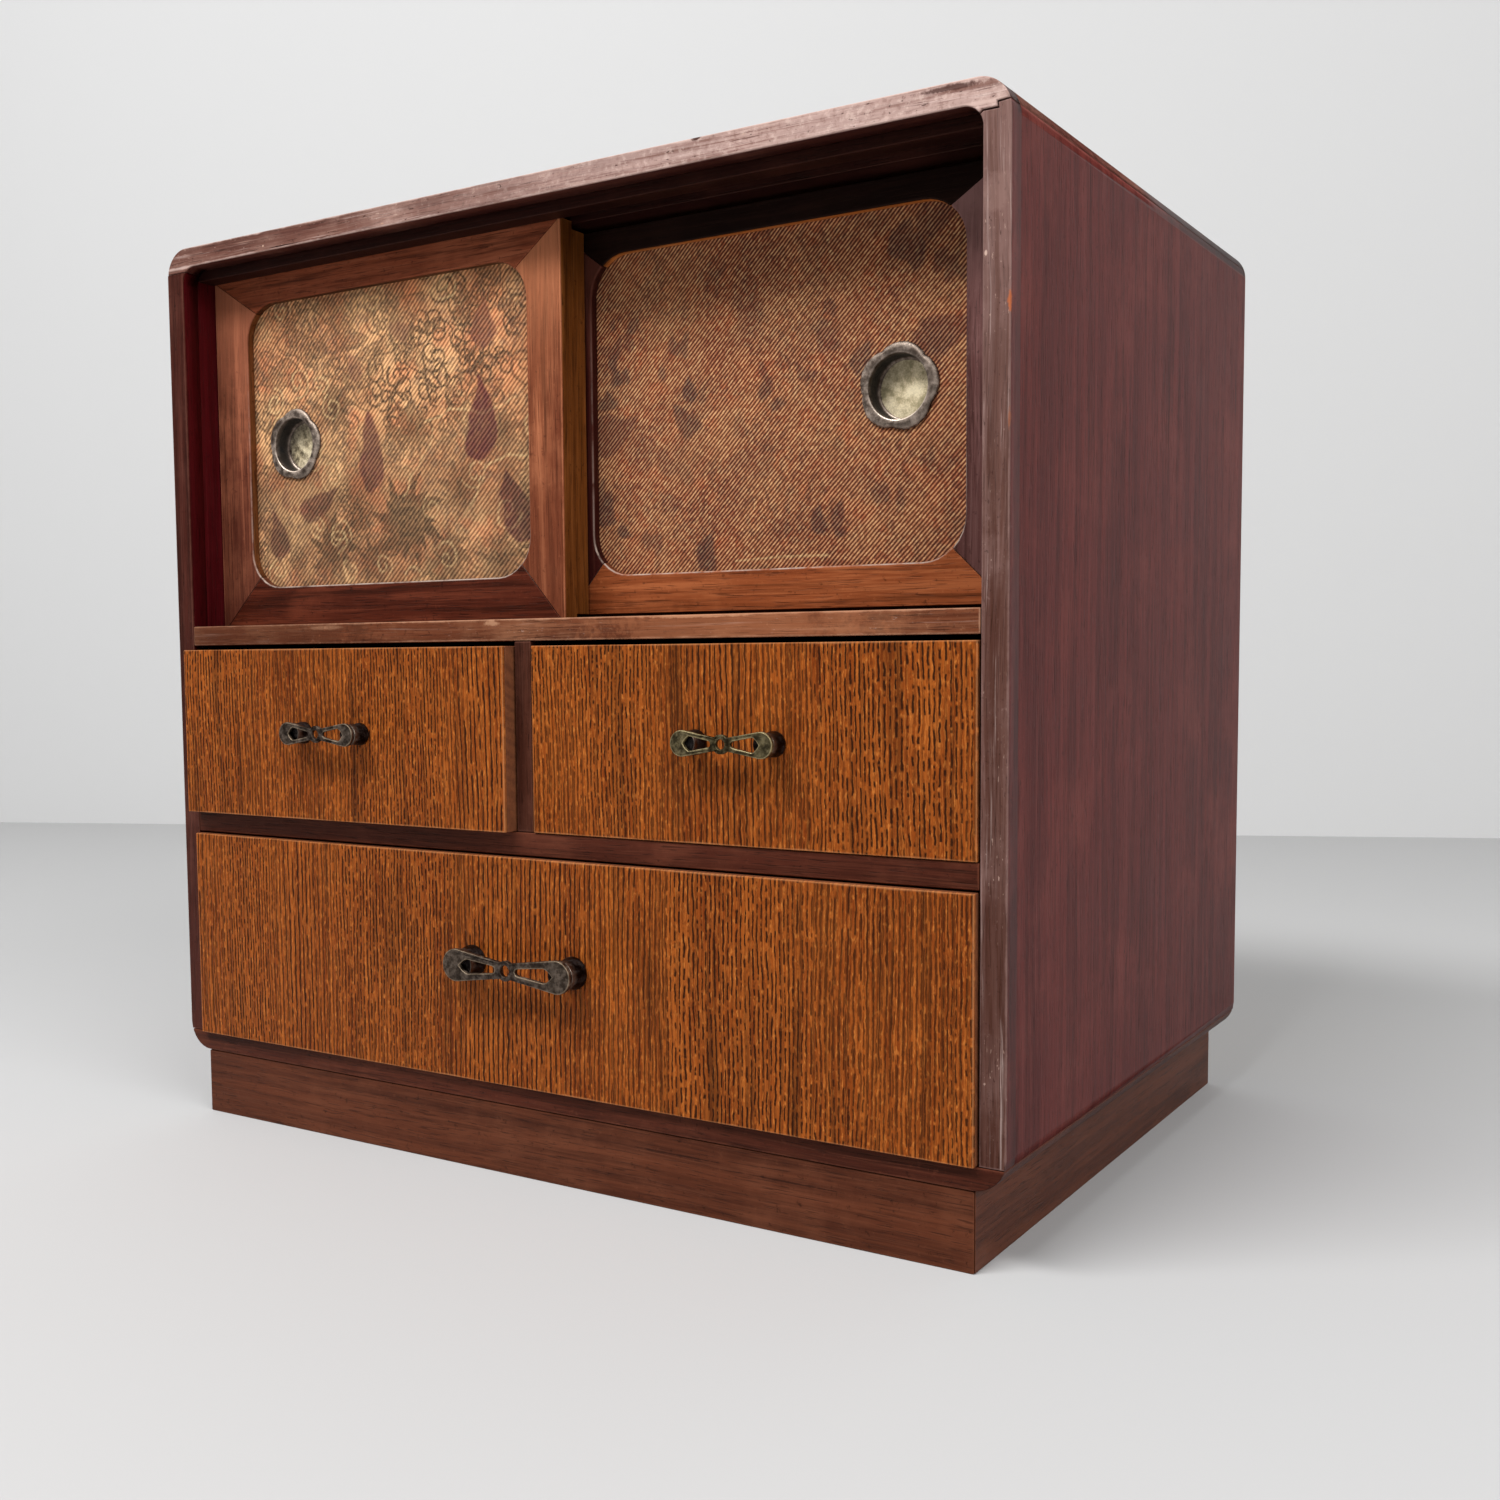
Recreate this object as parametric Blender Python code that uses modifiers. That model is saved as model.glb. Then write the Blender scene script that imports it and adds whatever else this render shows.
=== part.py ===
"""Small wooden cabinet: two sliding doors over two half drawers and one full drawer.

Lengths are metres, +Z is up and the front looks along -Y. Each assembly is laid out in its own
frame: x from its middle, y from its front face inwards, z from its underside.
"""
import math

import bmesh
import bpy
from mathutils import Matrix, Vector

# Carcass plan and boards
WIDTH = 0.500
DEPTH = 0.355
SIDE_THICKNESS = 0.012
TOP_THICKNESS = 0.0105
BOTTOM_THICKNESS = 0.0105
CORNER_RADIUS = 0.015
BACK_THICKNESS = 0.0045
BACK_REBATE = 0.005
BACK_SETBACK = 0.0005
CORNER_BLOCK_RADIUS = 0.009
CORNER_BLOCK_LIP = 0.0005
CORNER_BLOCK_DEPTH = 0.0105

# Heights of the plinth, the openings and the boards between them, from the floor up
PLINTH_HEIGHT = 0.036
LOWER_OPENING = 0.116
RAIL_THICKNESS = 0.0115
UPPER_OPENING = 0.0937
SHELF_THICKNESS = 0.0107
DOOR_OPENING = 0.199

# Plinth and drawer supports
PLINTH_BOARD = 0.012
PLINTH_SIDE_INSET = 0.014
PLINTH_SETBACK = 0.0008
RAIL_DEPTH = 0.045
DIVIDER_THICKNESS = 0.010
SIDE_RUNNER_WIDTH = 0.014
CENTRE_RUNNER_WIDTH = 0.034

# Sliding doors and their tracks
DOOR_SETBACK = 0.0225
DOOR_OVERLAP = 0.0186
DOOR_THICKNESS = 0.0198
DOOR_PASSING_GAP = 0.0012
DOOR_END_GAP = 0.0005
STILE_WIDTH = 0.0253
MEETING_STILE_WIDTH = 0.0216
TOP_RAIL_WIDTH = 0.016
BOTTOM_RAIL_WIDTH = 0.0245
FRAME_OPENING_RADIUS = 0.020
TONGUE_THICKNESS = 0.010
TONGUE_GAP = 0.0005
TONGUE_STEP = 0.0025
SILL_GROOVE_DEPTH = 0.003
TRACK_THICKNESS = 0.006
TRACK_GROOVE_DEPTH = 0.0045
TRACK_REAR_LIP = 0.0055
DOOR_LIFT = 0.0031
PANEL_RECESS = 0.005
PANEL_THICKNESS = 0.006
PANEL_TENON = 0.0065

# Recessed plum-blossom door pulls
LEFT_PULL_DISTANCE = 0.0568
RIGHT_PULL_DISTANCE = 0.0592
PULL_LOBES = 5
PULL_LOBE_RADIUS = 0.0136
PULL_LOBE_OFFSET = 0.0062
PULL_TURN = math.radians(10)
PULL_FLANGE = 0.0018
PULL_MOUTH_RADIUS = 0.0145
PULL_WALL = 0.001
PULL_RIM = 0.0004
PULL_DEPTH = 0.010
PULL_FLOOR_RADIUS = 0.0128

# Drawers
DRAWER_FACE = 0.002
DRAWER_FRONT = 0.011
DRAWER_BOARD = 0.0075
DRAWER_BOTTOM = 0.004
DRAWER_BOTTOM_HEIGHT = 0.006
DRAWER_BOTTOM_TENON = 0.0035
DRAWER_SIDE_CLEARANCE = 0.001
UPPER_DRAWER_CLEARANCE = 0.0025
LOWER_DRAWER_CLEARANCE = 0.001
DRAWER_SIDE_INSET = 0.0012
DRAWER_SIDE_DROP = 0.008
DRAWER_BACK_DROP = 0.004
DRAWER_STOP_GAP = 0.0005
CLOSED_PROUD = 0.001
UPPER_LEFT_PROUD = 0.0082
UPPER_RIGHT_PROUD = CLOSED_PROUD
LOWER_PROUD = 0.0035

# Pierced handles: a small pair on the half drawers and a large one on the full drawer
SMALL_HANDLE = {
    "length": 0.053, "end_height": 0.0119, "waist": 0.0060, "ring_step": 0.0014, "hole": 0.0046,
    "lancet_start": 0.0051, "lancet_end": 0.0197, "lancet_height": 0.0066, "lancet_neck": 0.0030,
    "plate": 0.0022, "post_radius": 0.0055, "post_height": 0.0103, "raise": 0.001,
}
LARGE_HANDLE = {
    "length": 0.079, "end_height": 0.0162, "waist": 0.0080, "ring_step": 0.0010, "hole": 0.0058,
    "lancet_start": 0.0062, "lancet_end": 0.0290, "lancet_height": 0.0070, "lancet_neck": 0.0036,
    "plate": 0.0026, "post_radius": 0.0076, "post_height": 0.0114, "raise": 0.004,
}
LANCET_SHOULDER = 0.24
LANCET_CURVE = 1.7
POST_WAIST = 0.94
POST_FOOT = 1.06
POST_FOOT_HEIGHT = 0.0018
POST_CHAMFER = 0.0007

# Fits, cutter overrun and roundness
FIT_GAP = 0.0003
MITRE_GAP = 0.0004
OVERRUN = 0.010
ARC_STEPS = 8
ROUND_STEPS = 32

# Levels and planes that follow from the sizes above
BOTTOM_TOP = PLINTH_HEIGHT + BOTTOM_THICKNESS
RAIL_BASE = BOTTOM_TOP + LOWER_OPENING
RAIL_TOP = RAIL_BASE + RAIL_THICKNESS
SHELF_BASE = RAIL_TOP + UPPER_OPENING
SHELF_TOP = SHELF_BASE + SHELF_THICKNESS
TOP_BASE = SHELF_TOP + DOOR_OPENING
HEIGHT = TOP_BASE + TOP_THICKNESS
HALF_WIDTH = WIDTH / 2
HALF_INSIDE = HALF_WIDTH - SIDE_THICKNESS
BACK_FACE = DEPTH - BACK_SETBACK - BACK_THICKNESS
INSIDE_DEPTH = BACK_FACE - FIT_GAP
DOOR_WIDTH = HALF_INSIDE - DOOR_END_GAP + DOOR_OVERLAP / 2
REAR_DOOR_SETBACK = DOOR_SETBACK + DOOR_THICKNESS + DOOR_PASSING_GAP
DOOR_BASE = SHELF_TOP - SILL_GROOVE_DEPTH + FIT_GAP
DOOR_HEIGHT = TOP_BASE - TRACK_THICKNESS + TRACK_GROOVE_DEPTH - DOOR_LIFT - DOOR_BASE
DRAWER_LENGTH = BACK_FACE - DRAWER_STOP_GAP + CLOSED_PROUD

# Colours as linear values
FINISHES = {
    "red_brown_lacquer": ((0.105, 0.030, 0.018), 0.42, 0.0),
    "dark_maroon_lacquer": ((0.045, 0.012, 0.012), 0.45, 0.0),
    "door_frame_wood": ((0.150, 0.045, 0.024), 0.40, 0.0),
    "oak_veneer": ((0.300, 0.098, 0.024), 0.48, 0.0),
    "plain_softwood": ((0.420, 0.270, 0.140), 0.70, 0.0),
    "printed_cloth_panel": ((0.370, 0.200, 0.110), 0.90, 0.0),
    "aged_nickel": ((0.300, 0.270, 0.220), 0.38, 1.0),
    "dark_bronze": ((0.090, 0.066, 0.042), 0.45, 1.0),
    "blackened_iron": ((0.025, 0.020, 0.017), 0.55, 1.0),
}


def clear_scene():
    for old in list(bpy.data.objects):
        bpy.data.objects.remove(old, do_unlink=True)


def new_collection(name):
    collection = bpy.data.collections.new(name)
    bpy.context.scene.collection.children.link(collection)
    return collection


def finish(name):
    """Material of one finish, made on first use."""
    material = bpy.data.materials.get(name)
    if material is None:
        colour, roughness, metallic = FINISHES[name]
        material = bpy.data.materials.new(name)
        material.use_nodes = True
        shader = material.node_tree.nodes["Principled BSDF"]
        shader.inputs["Base Color"].default_value = (*colour, 1.0)
        shader.inputs["Roughness"].default_value = roughness
        shader.inputs["Metallic"].default_value = metallic
    return material


def new_frame(name, location, parent=None):
    """Empty that carries the pieces of one assembly."""
    empty = bpy.data.objects.new(name, None)
    empty.empty_display_size = 0.05
    empty.location = location
    empty.parent = parent
    PARTS.objects.link(empty)
    return empty


def add_piece(name, mesh, parent, finish_name, location=(0, 0, 0)):
    piece = bpy.data.objects.new(name, mesh)
    piece.parent = parent
    piece.location = location
    mesh.materials.clear()
    mesh.materials.append(finish(finish_name))
    PARTS.objects.link(piece)
    return piece


def add_cutter(name, mesh, parent, location=(0, 0, 0)):
    tool = bpy.data.objects.new(name, mesh)
    tool.parent = parent
    tool.location = location
    tool.hide_render = True
    tool.display_type = "WIRE"
    CUTTERS.objects.link(tool)
    return tool


def shape(piece, tool, operation="DIFFERENCE"):
    """Cut a piece with a tool, or join or trim it."""
    modifier = piece.modifiers.new(operation.lower() + "_" + tool.name, "BOOLEAN")
    modifier.operation = operation
    modifier.object = tool


def box_mesh(name, size):
    mesh = bpy.data.meshes.new(name)
    form = bmesh.new()
    bmesh.ops.create_cube(form, size=1.0, matrix=Matrix.Diagonal((*size, 1.0)))
    form.to_mesh(mesh)
    form.free()
    return mesh


def board(name, low, high, parent, finish_name):
    """Rectangular board between two corners of its assembly's frame."""
    low, high = Vector(low), Vector(high)
    return add_piece(name, box_mesh(name, high - low), parent, finish_name, (low + high) / 2)


def box_cutter(name, low, high, parent):
    low, high = Vector(low), Vector(high)
    return add_cutter(name, box_mesh(name, high - low), parent, (low + high) / 2)


def outline_mesh(name, outlines, thickness, upright=True):
    """Flat plate through closed outlines.

    Upright plates take outlines of (x, z) and reach from y = 0 inwards. Level plates take outlines
    of (x, y) and reach from z = 0 upwards.
    """
    curve = bpy.data.curves.new(name, "CURVE")
    curve.dimensions = "2D"
    curve.fill_mode = "BOTH"
    curve.extrude = thickness / 2
    for outline in outlines:
        spline = curve.splines.new("POLY")
        spline.points.add(len(outline) - 1)
        for point, (across, along) in zip(spline.points, outline):
            point.co = (across, along, 0, 1)
        spline.use_cyclic_u = True
    flat = bpy.data.objects.new(name, curve)
    bpy.context.scene.collection.objects.link(flat)
    bpy.context.view_layer.update()
    mesh = bpy.data.meshes.new_from_object(flat.evaluated_get(bpy.context.evaluated_depsgraph_get()))
    mesh.name = name
    bpy.data.objects.remove(flat)
    bpy.data.curves.remove(curve)
    form = bmesh.new()
    form.from_mesh(mesh)
    bmesh.ops.remove_doubles(form, verts=form.verts, dist=1e-6)
    place = Matrix.Translation((0, 0, thickness / 2))
    if upright:
        place = Matrix.Translation((0, thickness / 2, 0)) @ Matrix.Rotation(math.pi / 2, 4, "X")
    bmesh.ops.transform(form, matrix=place, verts=form.verts)
    bmesh.ops.recalc_face_normals(form, faces=form.faces)
    form.to_mesh(mesh)
    form.free()
    return mesh


def arc(centre, radius, start, end, steps=ARC_STEPS):
    """Points of an arc between two angles in degrees, both ends included."""
    points = []
    for step in range(steps + 1):
        angle = math.radians(start + (end - start) * step / steps)
        points.append((centre[0] + radius * math.cos(angle), centre[1] + radius * math.sin(angle)))
    return points


def mirrored(outline):
    """The outline on the other side of the middle, taken the other way round."""
    return [(-across, along) for across, along in reversed(outline)]


def turned_profile(name, profile):
    """Mesh of one (radius, height) profile, from its top down its outer side."""
    mesh = bpy.data.meshes.new(name)
    form = bmesh.new()
    corners = [form.verts.new((radius, 0, height)) for radius, height in profile]
    for upper, lower in zip(corners, corners[1:]):
        form.edges.new((upper, lower))
    form.to_mesh(mesh)
    form.free()
    return mesh


def turn(piece):
    """Spin a profile round its z axis, and stand that axis along -Y."""
    spin = piece.modifiers.new("turned", "SCREW")
    spin.axis = "Z"
    spin.steps = ROUND_STEPS
    spin.render_steps = ROUND_STEPS
    spin.use_merge_vertices = True
    spin.merge_threshold = 0.00001
    spin.use_smooth_shade = True
    piece.rotation_euler = (math.pi / 2, 0, 0)


def carcass(parent):
    """Boards of the box, trimmed to one outline with rounded corners."""
    radius = CORNER_RADIUS
    right, low, high = HALF_WIDTH - radius, PLINTH_HEIGHT + radius, HEIGHT - radius
    outline = (arc((right, low), radius, -90, 0) + arc((right, high), radius, 0, 90)
               + arc((-right, high), radius, 90, 180) + arc((-right, low), radius, 180, 270))
    outline = add_cutter("carcass_outline", outline_mesh("carcass_outline", [outline], DEPTH + 2 * OVERRUN),
                         parent, (0, -OVERRUN, 0))
    back_reach = HALF_INSIDE + BACK_REBATE
    back_low, back_high = BOTTOM_TOP - BACK_REBATE, TOP_BASE + BACK_REBATE
    rebate = box_cutter("back_rebate", (-back_reach - FIT_GAP, BACK_FACE - FIT_GAP, back_low - FIT_GAP),
                        (back_reach + FIT_GAP, DEPTH + OVERRUN, back_high + FIT_GAP), parent)
    past = HALF_WIDTH + OVERRUN
    side_low, side_high = BOTTOM_TOP + FIT_GAP, TOP_BASE - FIT_GAP
    boards = [
        board("top_board", (-past, 0, TOP_BASE), (past, DEPTH, HEIGHT + OVERRUN), parent,
              "red_brown_lacquer"),
        board("bottom_board", (-past, 0, PLINTH_HEIGHT - OVERRUN), (past, DEPTH, BOTTOM_TOP), parent,
              "red_brown_lacquer"),
        board("left_side_board", (-past, 0, side_low), (-HALF_INSIDE, DEPTH, side_high), parent,
              "dark_maroon_lacquer"),
        board("right_side_board", (HALF_INSIDE, 0, side_low), (past, DEPTH, side_high), parent,
              "dark_maroon_lacquer"),
    ]
    for piece in boards:
        shape(piece, outline, "INTERSECT")
        shape(piece, rebate)
    board("back_panel", (-back_reach, BACK_FACE, back_low),
          (back_reach, BACK_FACE + BACK_THICKNESS, back_high), parent, "plain_softwood")


def corner_blocks(parent):
    """Hollow quarter rounds in the two upper corners of the door opening."""
    radius = CORNER_BLOCK_RADIUS
    hollow = arc((-radius, -radius), radius - CORNER_BLOCK_LIP, 90, 0)
    right = [(0, 0), (-radius, 0)] + hollow + [(0, -radius)]
    reach, up = HALF_INSIDE - FIT_GAP, TOP_BASE - FIT_GAP
    for side, outline, across in (("left", mirrored(right), -reach), ("right", right, reach)):
        name = side + "_corner_block"
        add_piece(name, outline_mesh(name, [outline], CORNER_BLOCK_DEPTH), parent, "red_brown_lacquer",
                  (across, 0, up))


def track_grooves(name, low, high, parent):
    """Cutters for the front and rear door grooves between two heights."""
    grooves = []
    rear_tongue = REAR_DOOR_SETBACK + DOOR_THICKNESS - TONGUE_THICKNESS
    for place, start in (("front", DOOR_SETBACK), ("rear", rear_tongue)):
        grooves.append(box_cutter(name + "_" + place, (-HALF_WIDTH, start - TONGUE_GAP, low),
                                  (HALF_WIDTH, start + TONGUE_THICKNESS + TONGUE_GAP, high), parent))
    return grooves


def shelf_and_track(parent):
    """Shelf whose front edge is the door sill, and the upper door track."""
    reach = HALF_INSIDE - FIT_GAP
    shelf = board("door_shelf", (-reach, 0, SHELF_BASE), (reach, INSIDE_DEPTH, SHELF_TOP), parent,
                  "red_brown_lacquer")
    for groove in track_grooves("sill_groove", SHELF_TOP - SILL_GROOVE_DEPTH, SHELF_TOP + OVERRUN, parent):
        shape(shelf, groove)
    track_base = TOP_BASE - TRACK_THICKNESS
    track_rear = REAR_DOOR_SETBACK + DOOR_THICKNESS + TONGUE_GAP + TRACK_REAR_LIP
    track = board("upper_door_track", (-reach, CORNER_BLOCK_DEPTH + FIT_GAP, track_base),
                  (reach, track_rear, TOP_BASE - FIT_GAP), parent, "dark_maroon_lacquer")
    groove_top = track_base + TRACK_GROOVE_DEPTH
    for groove in track_grooves("track_groove", track_base - OVERRUN, groove_top, parent):
        shape(track, groove)


def drawer_supports(parent):
    """Rail, runners and divider that carry the half drawers."""
    reach = HALF_INSIDE - FIT_GAP
    half_divider = DIVIDER_THICKNESS / 2
    half_runner = CENTRE_RUNNER_WIDTH / 2
    runner_start = RAIL_DEPTH + FIT_GAP
    board("drawer_rail", (-reach, 0, RAIL_BASE), (reach, RAIL_DEPTH, RAIL_TOP), parent, "red_brown_lacquer")
    for name, left, right in (("left_runner", -reach, SIDE_RUNNER_WIDTH - reach),
                              ("centre_runner", -half_runner, half_runner),
                              ("right_runner", reach - SIDE_RUNNER_WIDTH, reach)):
        board(name, (left, runner_start, RAIL_BASE), (right, INSIDE_DEPTH, RAIL_TOP), parent,
              "plain_softwood")
    board("drawer_divider", (-half_divider, 0, RAIL_TOP + FIT_GAP),
          (half_divider, INSIDE_DEPTH, SHELF_BASE - FIT_GAP), parent, "dark_maroon_lacquer")


def plinth(parent):
    """Four mitred boards on the floor, set in at the sides."""
    half = HALF_WIDTH - PLINTH_SIDE_INSET
    inner = half - PLINTH_BOARD
    near, far = PLINTH_SETBACK, DEPTH - PLINTH_SETBACK
    front = [(-half, near), (half, near), (inner, near + PLINTH_BOARD), (-inner, near + PLINTH_BOARD)]
    back = [(-inner, far - PLINTH_BOARD), (inner, far - PLINTH_BOARD), (half, far), (-half, far)]
    side_near, side_far = near + MITRE_GAP, far - MITRE_GAP
    right = [(inner, side_near + PLINTH_BOARD), (half, side_near), (half, side_far),
             (inner, side_far - PLINTH_BOARD)]
    left = mirrored(right)
    for side, outline in (("front", front), ("back", back), ("left", left), ("right", right)):
        name = "plinth_" + side
        mesh = outline_mesh(name, [outline], PLINTH_HEIGHT - FIT_GAP, upright=False)
        add_piece(name, mesh, parent, "red_brown_lacquer")


def mitre_angle(stile, rail, radius):
    """Angle in degrees, from the stile side, where a mitre meets the rounded opening corner."""
    length = math.hypot(stile, rail)
    across, up = stile / length, rail / length
    to_centre = (stile + radius, rail + radius)
    along = to_centre[0] * across + to_centre[1] * up
    off = to_centre[0] * up - to_centre[1] * across
    reach = along - math.sqrt(radius ** 2 - off ** 2)
    return math.degrees(math.atan2(to_centre[1] - reach * up, to_centre[0] - reach * across))


def frame_half(stile):
    """Right half of a door frame: its stile and half of each rail, with a rounded opening."""
    half, radius, steps = DOOR_WIDTH / 2, FRAME_OPENING_RADIUS, ARC_STEPS // 2
    across = half - stile - radius
    low, high = BOTTOM_RAIL_WIDTH + radius, DOOR_HEIGHT - TOP_RAIL_WIDTH - radius
    lower = mitre_angle(stile, BOTTOM_RAIL_WIDTH, radius)
    upper = mitre_angle(stile, TOP_RAIL_WIDTH, radius)
    return {
        "stile": (arc((across, low), radius, -lower, 0, steps) + arc((across, high), radius, 0, upper, steps)
                  + [(half, DOOR_HEIGHT), (half, 0)]),
        "bottom": arc((across - MITRE_GAP, low), radius, -90, -lower, steps) + [(half - MITRE_GAP, 0)],
        "top": arc((across - MITRE_GAP, high), radius, 90, upper, steps) + [(half - MITRE_GAP, DOOR_HEIGHT)],
    }


def frame_outlines(left_stile, right_stile):
    """Outlines of a door's mitred members, for stiles of two widths."""
    left, right = frame_half(left_stile), frame_half(right_stile)
    return {"left_stile": mirrored(left["stile"]), "right_stile": right["stile"],
            "bottom_rail": mirrored(left["bottom"]) + right["bottom"],
            "top_rail": mirrored(left["top"]) + right["top"]}


def pull_outline():
    """Plum-blossom edge: equal lobes, each an arc about its own centre."""
    points = []
    steps = 2 * ARC_STEPS
    sector = math.tau / PULL_LOBES
    for lobe in range(PULL_LOBES):
        middle = math.pi / 2 - PULL_TURN + lobe * sector
        for step in range(steps):
            swing = sector * (step / steps - 0.5)
            reach = PULL_LOBE_OFFSET * math.cos(swing)
            reach += math.sqrt(PULL_LOBE_RADIUS ** 2 - (PULL_LOBE_OFFSET * math.sin(swing)) ** 2)
            points.append((reach * math.cos(middle + swing), reach * math.sin(middle + swing)))
    return points


def door_pull(prefix, parent, centre):
    """Lobed flange with a drawn cup, sunk in the door panel."""
    name = prefix + "_pull"
    flange_face = PANEL_RECESS - FIT_GAP - PULL_FLANGE
    outer = PULL_MOUTH_RADIUS + PULL_WALL
    ring = arc((0, 0), PULL_MOUTH_RADIUS + PULL_WALL / 2, 0, 360, ROUND_STEPS)[:-1]
    flange = add_piece(name, outline_mesh(name, [pull_outline(), ring], PULL_FLANGE), parent, "aged_nickel",
                       (centre[0], flange_face, centre[1]))
    end = PULL_DEPTH + PULL_WALL
    profile = [(0, -PULL_DEPTH), (PULL_FLOOR_RADIUS, -PULL_DEPTH),
               (PULL_MOUTH_RADIUS, PULL_WALL - PULL_DEPTH), (PULL_MOUTH_RADIUS, PULL_RIM),
               (outer, PULL_RIM), (outer, -end), (0, -end)]
    cup = add_cutter(name + "_cup", turned_profile(name + "_cup", profile), parent,
                     (centre[0], flange_face, centre[1]))
    turn(cup)
    shape(flange, cup, "UNION")


def sliding_door(prefix, parent, centre, setback, tongue_in_front, stiles, pull_across):
    """Mitred frame with a cloth-covered panel in its groove, and a recessed pull."""
    frame = new_frame(prefix + "_slide", (centre, setback, DOOR_BASE), parent)
    half = DOOR_WIDTH / 2
    tongue_low = TONGUE_STEP + SILL_GROOVE_DEPTH - FIT_GAP
    tongue_high = TOP_BASE - TRACK_THICKNESS - TONGUE_STEP - DOOR_BASE
    near, far = TONGUE_THICKNESS, DOOR_THICKNESS + OVERRUN
    if not tongue_in_front:
        near, far = -OVERRUN, DOOR_THICKNESS - TONGUE_THICKNESS
    past = half + OVERRUN
    tools = [
        box_cutter(prefix + "_lower_step", (-past, near, -OVERRUN), (past, far, tongue_low), frame),
        box_cutter(prefix + "_upper_step", (-past, near, tongue_high),
                   (past, far, DOOR_HEIGHT + OVERRUN), frame),
    ]
    panel_left = stiles[0] - PANEL_TENON - half
    panel_right = half - stiles[1] + PANEL_TENON
    panel_low = BOTTOM_RAIL_WIDTH - PANEL_TENON
    panel_high = DOOR_HEIGHT - TOP_RAIL_WIDTH + PANEL_TENON
    panel_back = PANEL_RECESS + PANEL_THICKNESS
    tools.append(box_cutter(prefix + "_panel_groove",
                            (panel_left - FIT_GAP, PANEL_RECESS - FIT_GAP, panel_low - FIT_GAP),
                            (panel_right + FIT_GAP, panel_back + FIT_GAP, panel_high + FIT_GAP), frame))
    for part, outline in frame_outlines(*stiles).items():
        name = prefix + "_" + part
        member = add_piece(name, outline_mesh(name, [outline], DOOR_THICKNESS), frame, "door_frame_wood")
        for tool in tools:
            shape(member, tool)
    panel = board(prefix + "_panel", (panel_left, PANEL_RECESS, panel_low),
                  (panel_right, panel_back, panel_high), frame, "printed_cloth_panel")
    pull_centre = (pull_across, (panel_low + panel_high) / 2)
    circle = arc((0, 0), PULL_MOUTH_RADIUS + PULL_WALL + FIT_GAP, 0, 360, ROUND_STEPS)[:-1]
    bore_mesh = outline_mesh(prefix + "_pull_bore", [circle], PANEL_THICKNESS + 2 * OVERRUN)
    bore = add_cutter(prefix + "_pull_bore", bore_mesh, frame,
                      (pull_centre[0], PANEL_RECESS - OVERRUN, pull_centre[1]))
    shape(panel, bore)
    door_pull(prefix, frame, pull_centre)


def handle_outline(size):
    """Bow-tie edge: round ends, straight tapers tangent to them, and a ring at the waist."""
    end, half_waist = size["end_height"] / 2, size["waist"] / 2
    ring = half_waist + size["ring_step"]
    centre = size["length"] / 2 - end
    ring_angle = math.degrees(math.asin(half_waist / ring))
    neck = ring * math.cos(math.radians(ring_angle))
    to_neck = math.hypot(neck - centre, half_waist)
    tangent = math.degrees(math.atan2(half_waist, neck - centre) - math.acos(end / to_neck))
    return (arc((centre, 0), end, -tangent, tangent, 2 * ARC_STEPS)
            + arc((0, 0), ring, ring_angle, 180 - ring_angle)
            + arc((-centre, 0), end, 180 - tangent, 180 + tangent, 2 * ARC_STEPS)
            + arc((0, 0), ring, 180 + ring_angle, 360 - ring_angle))


def lancet_outline(size):
    """Long cut-out: small round inner end, straight flare, pointed outer end."""
    start, end = size["lancet_start"], size["lancet_end"]
    neck, widest = size["lancet_neck"] / 2, size["lancet_height"] / 2
    shoulder = end - LANCET_SHOULDER * (end - start)
    upper = []
    for step in range(ARC_STEPS):
        share = step / ARC_STEPS
        upper.append((shoulder + (end - shoulder) * share, widest * (1 - share ** LANCET_CURVE)))
    lower = [(across, -up) for across, up in upper]
    inner = arc((start + neck, 0), neck, 90, 270, ARC_STEPS // 2)
    return [(end, 0)] + upper[::-1] + inner + lower


def handle(prefix, parent, size, height):
    """Pierced plate on two turned posts, standing in front of the drawer's face."""
    post_face = -FIT_GAP - size["post_height"]
    plate_face = post_face - FIT_GAP - size["plate"]
    hole = arc((0, 0), size["hole"] / 2, 0, 360, 2 * ARC_STEPS)[:-1]
    right_lancet = lancet_outline(size)
    left_lancet = mirrored(right_lancet)
    name = prefix + "_handle_plate"
    outlines = [handle_outline(size), hole, right_lancet, left_lancet]
    add_piece(name, outline_mesh(name, outlines, size["plate"]), parent, "dark_bronze",
              (0, plate_face, height))
    radius, top = size["post_radius"], size["post_height"]
    profile = [(0, top), (radius - POST_CHAMFER, top), (radius, top - POST_CHAMFER),
               (radius * POST_WAIST, top / 2), (radius * POST_FOOT, POST_FOOT_HEIGHT),
               (radius * POST_FOOT, 0), (0, 0)]
    across = (size["length"] - size["end_height"]) / 2
    for side, place in (("left", -across), ("right", across)):
        name = prefix + "_handle_post_" + side
        post = add_piece(name, turned_profile(name, profile), parent, "blackened_iron",
                         (place, -FIT_GAP, height))
        turn(post)


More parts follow.
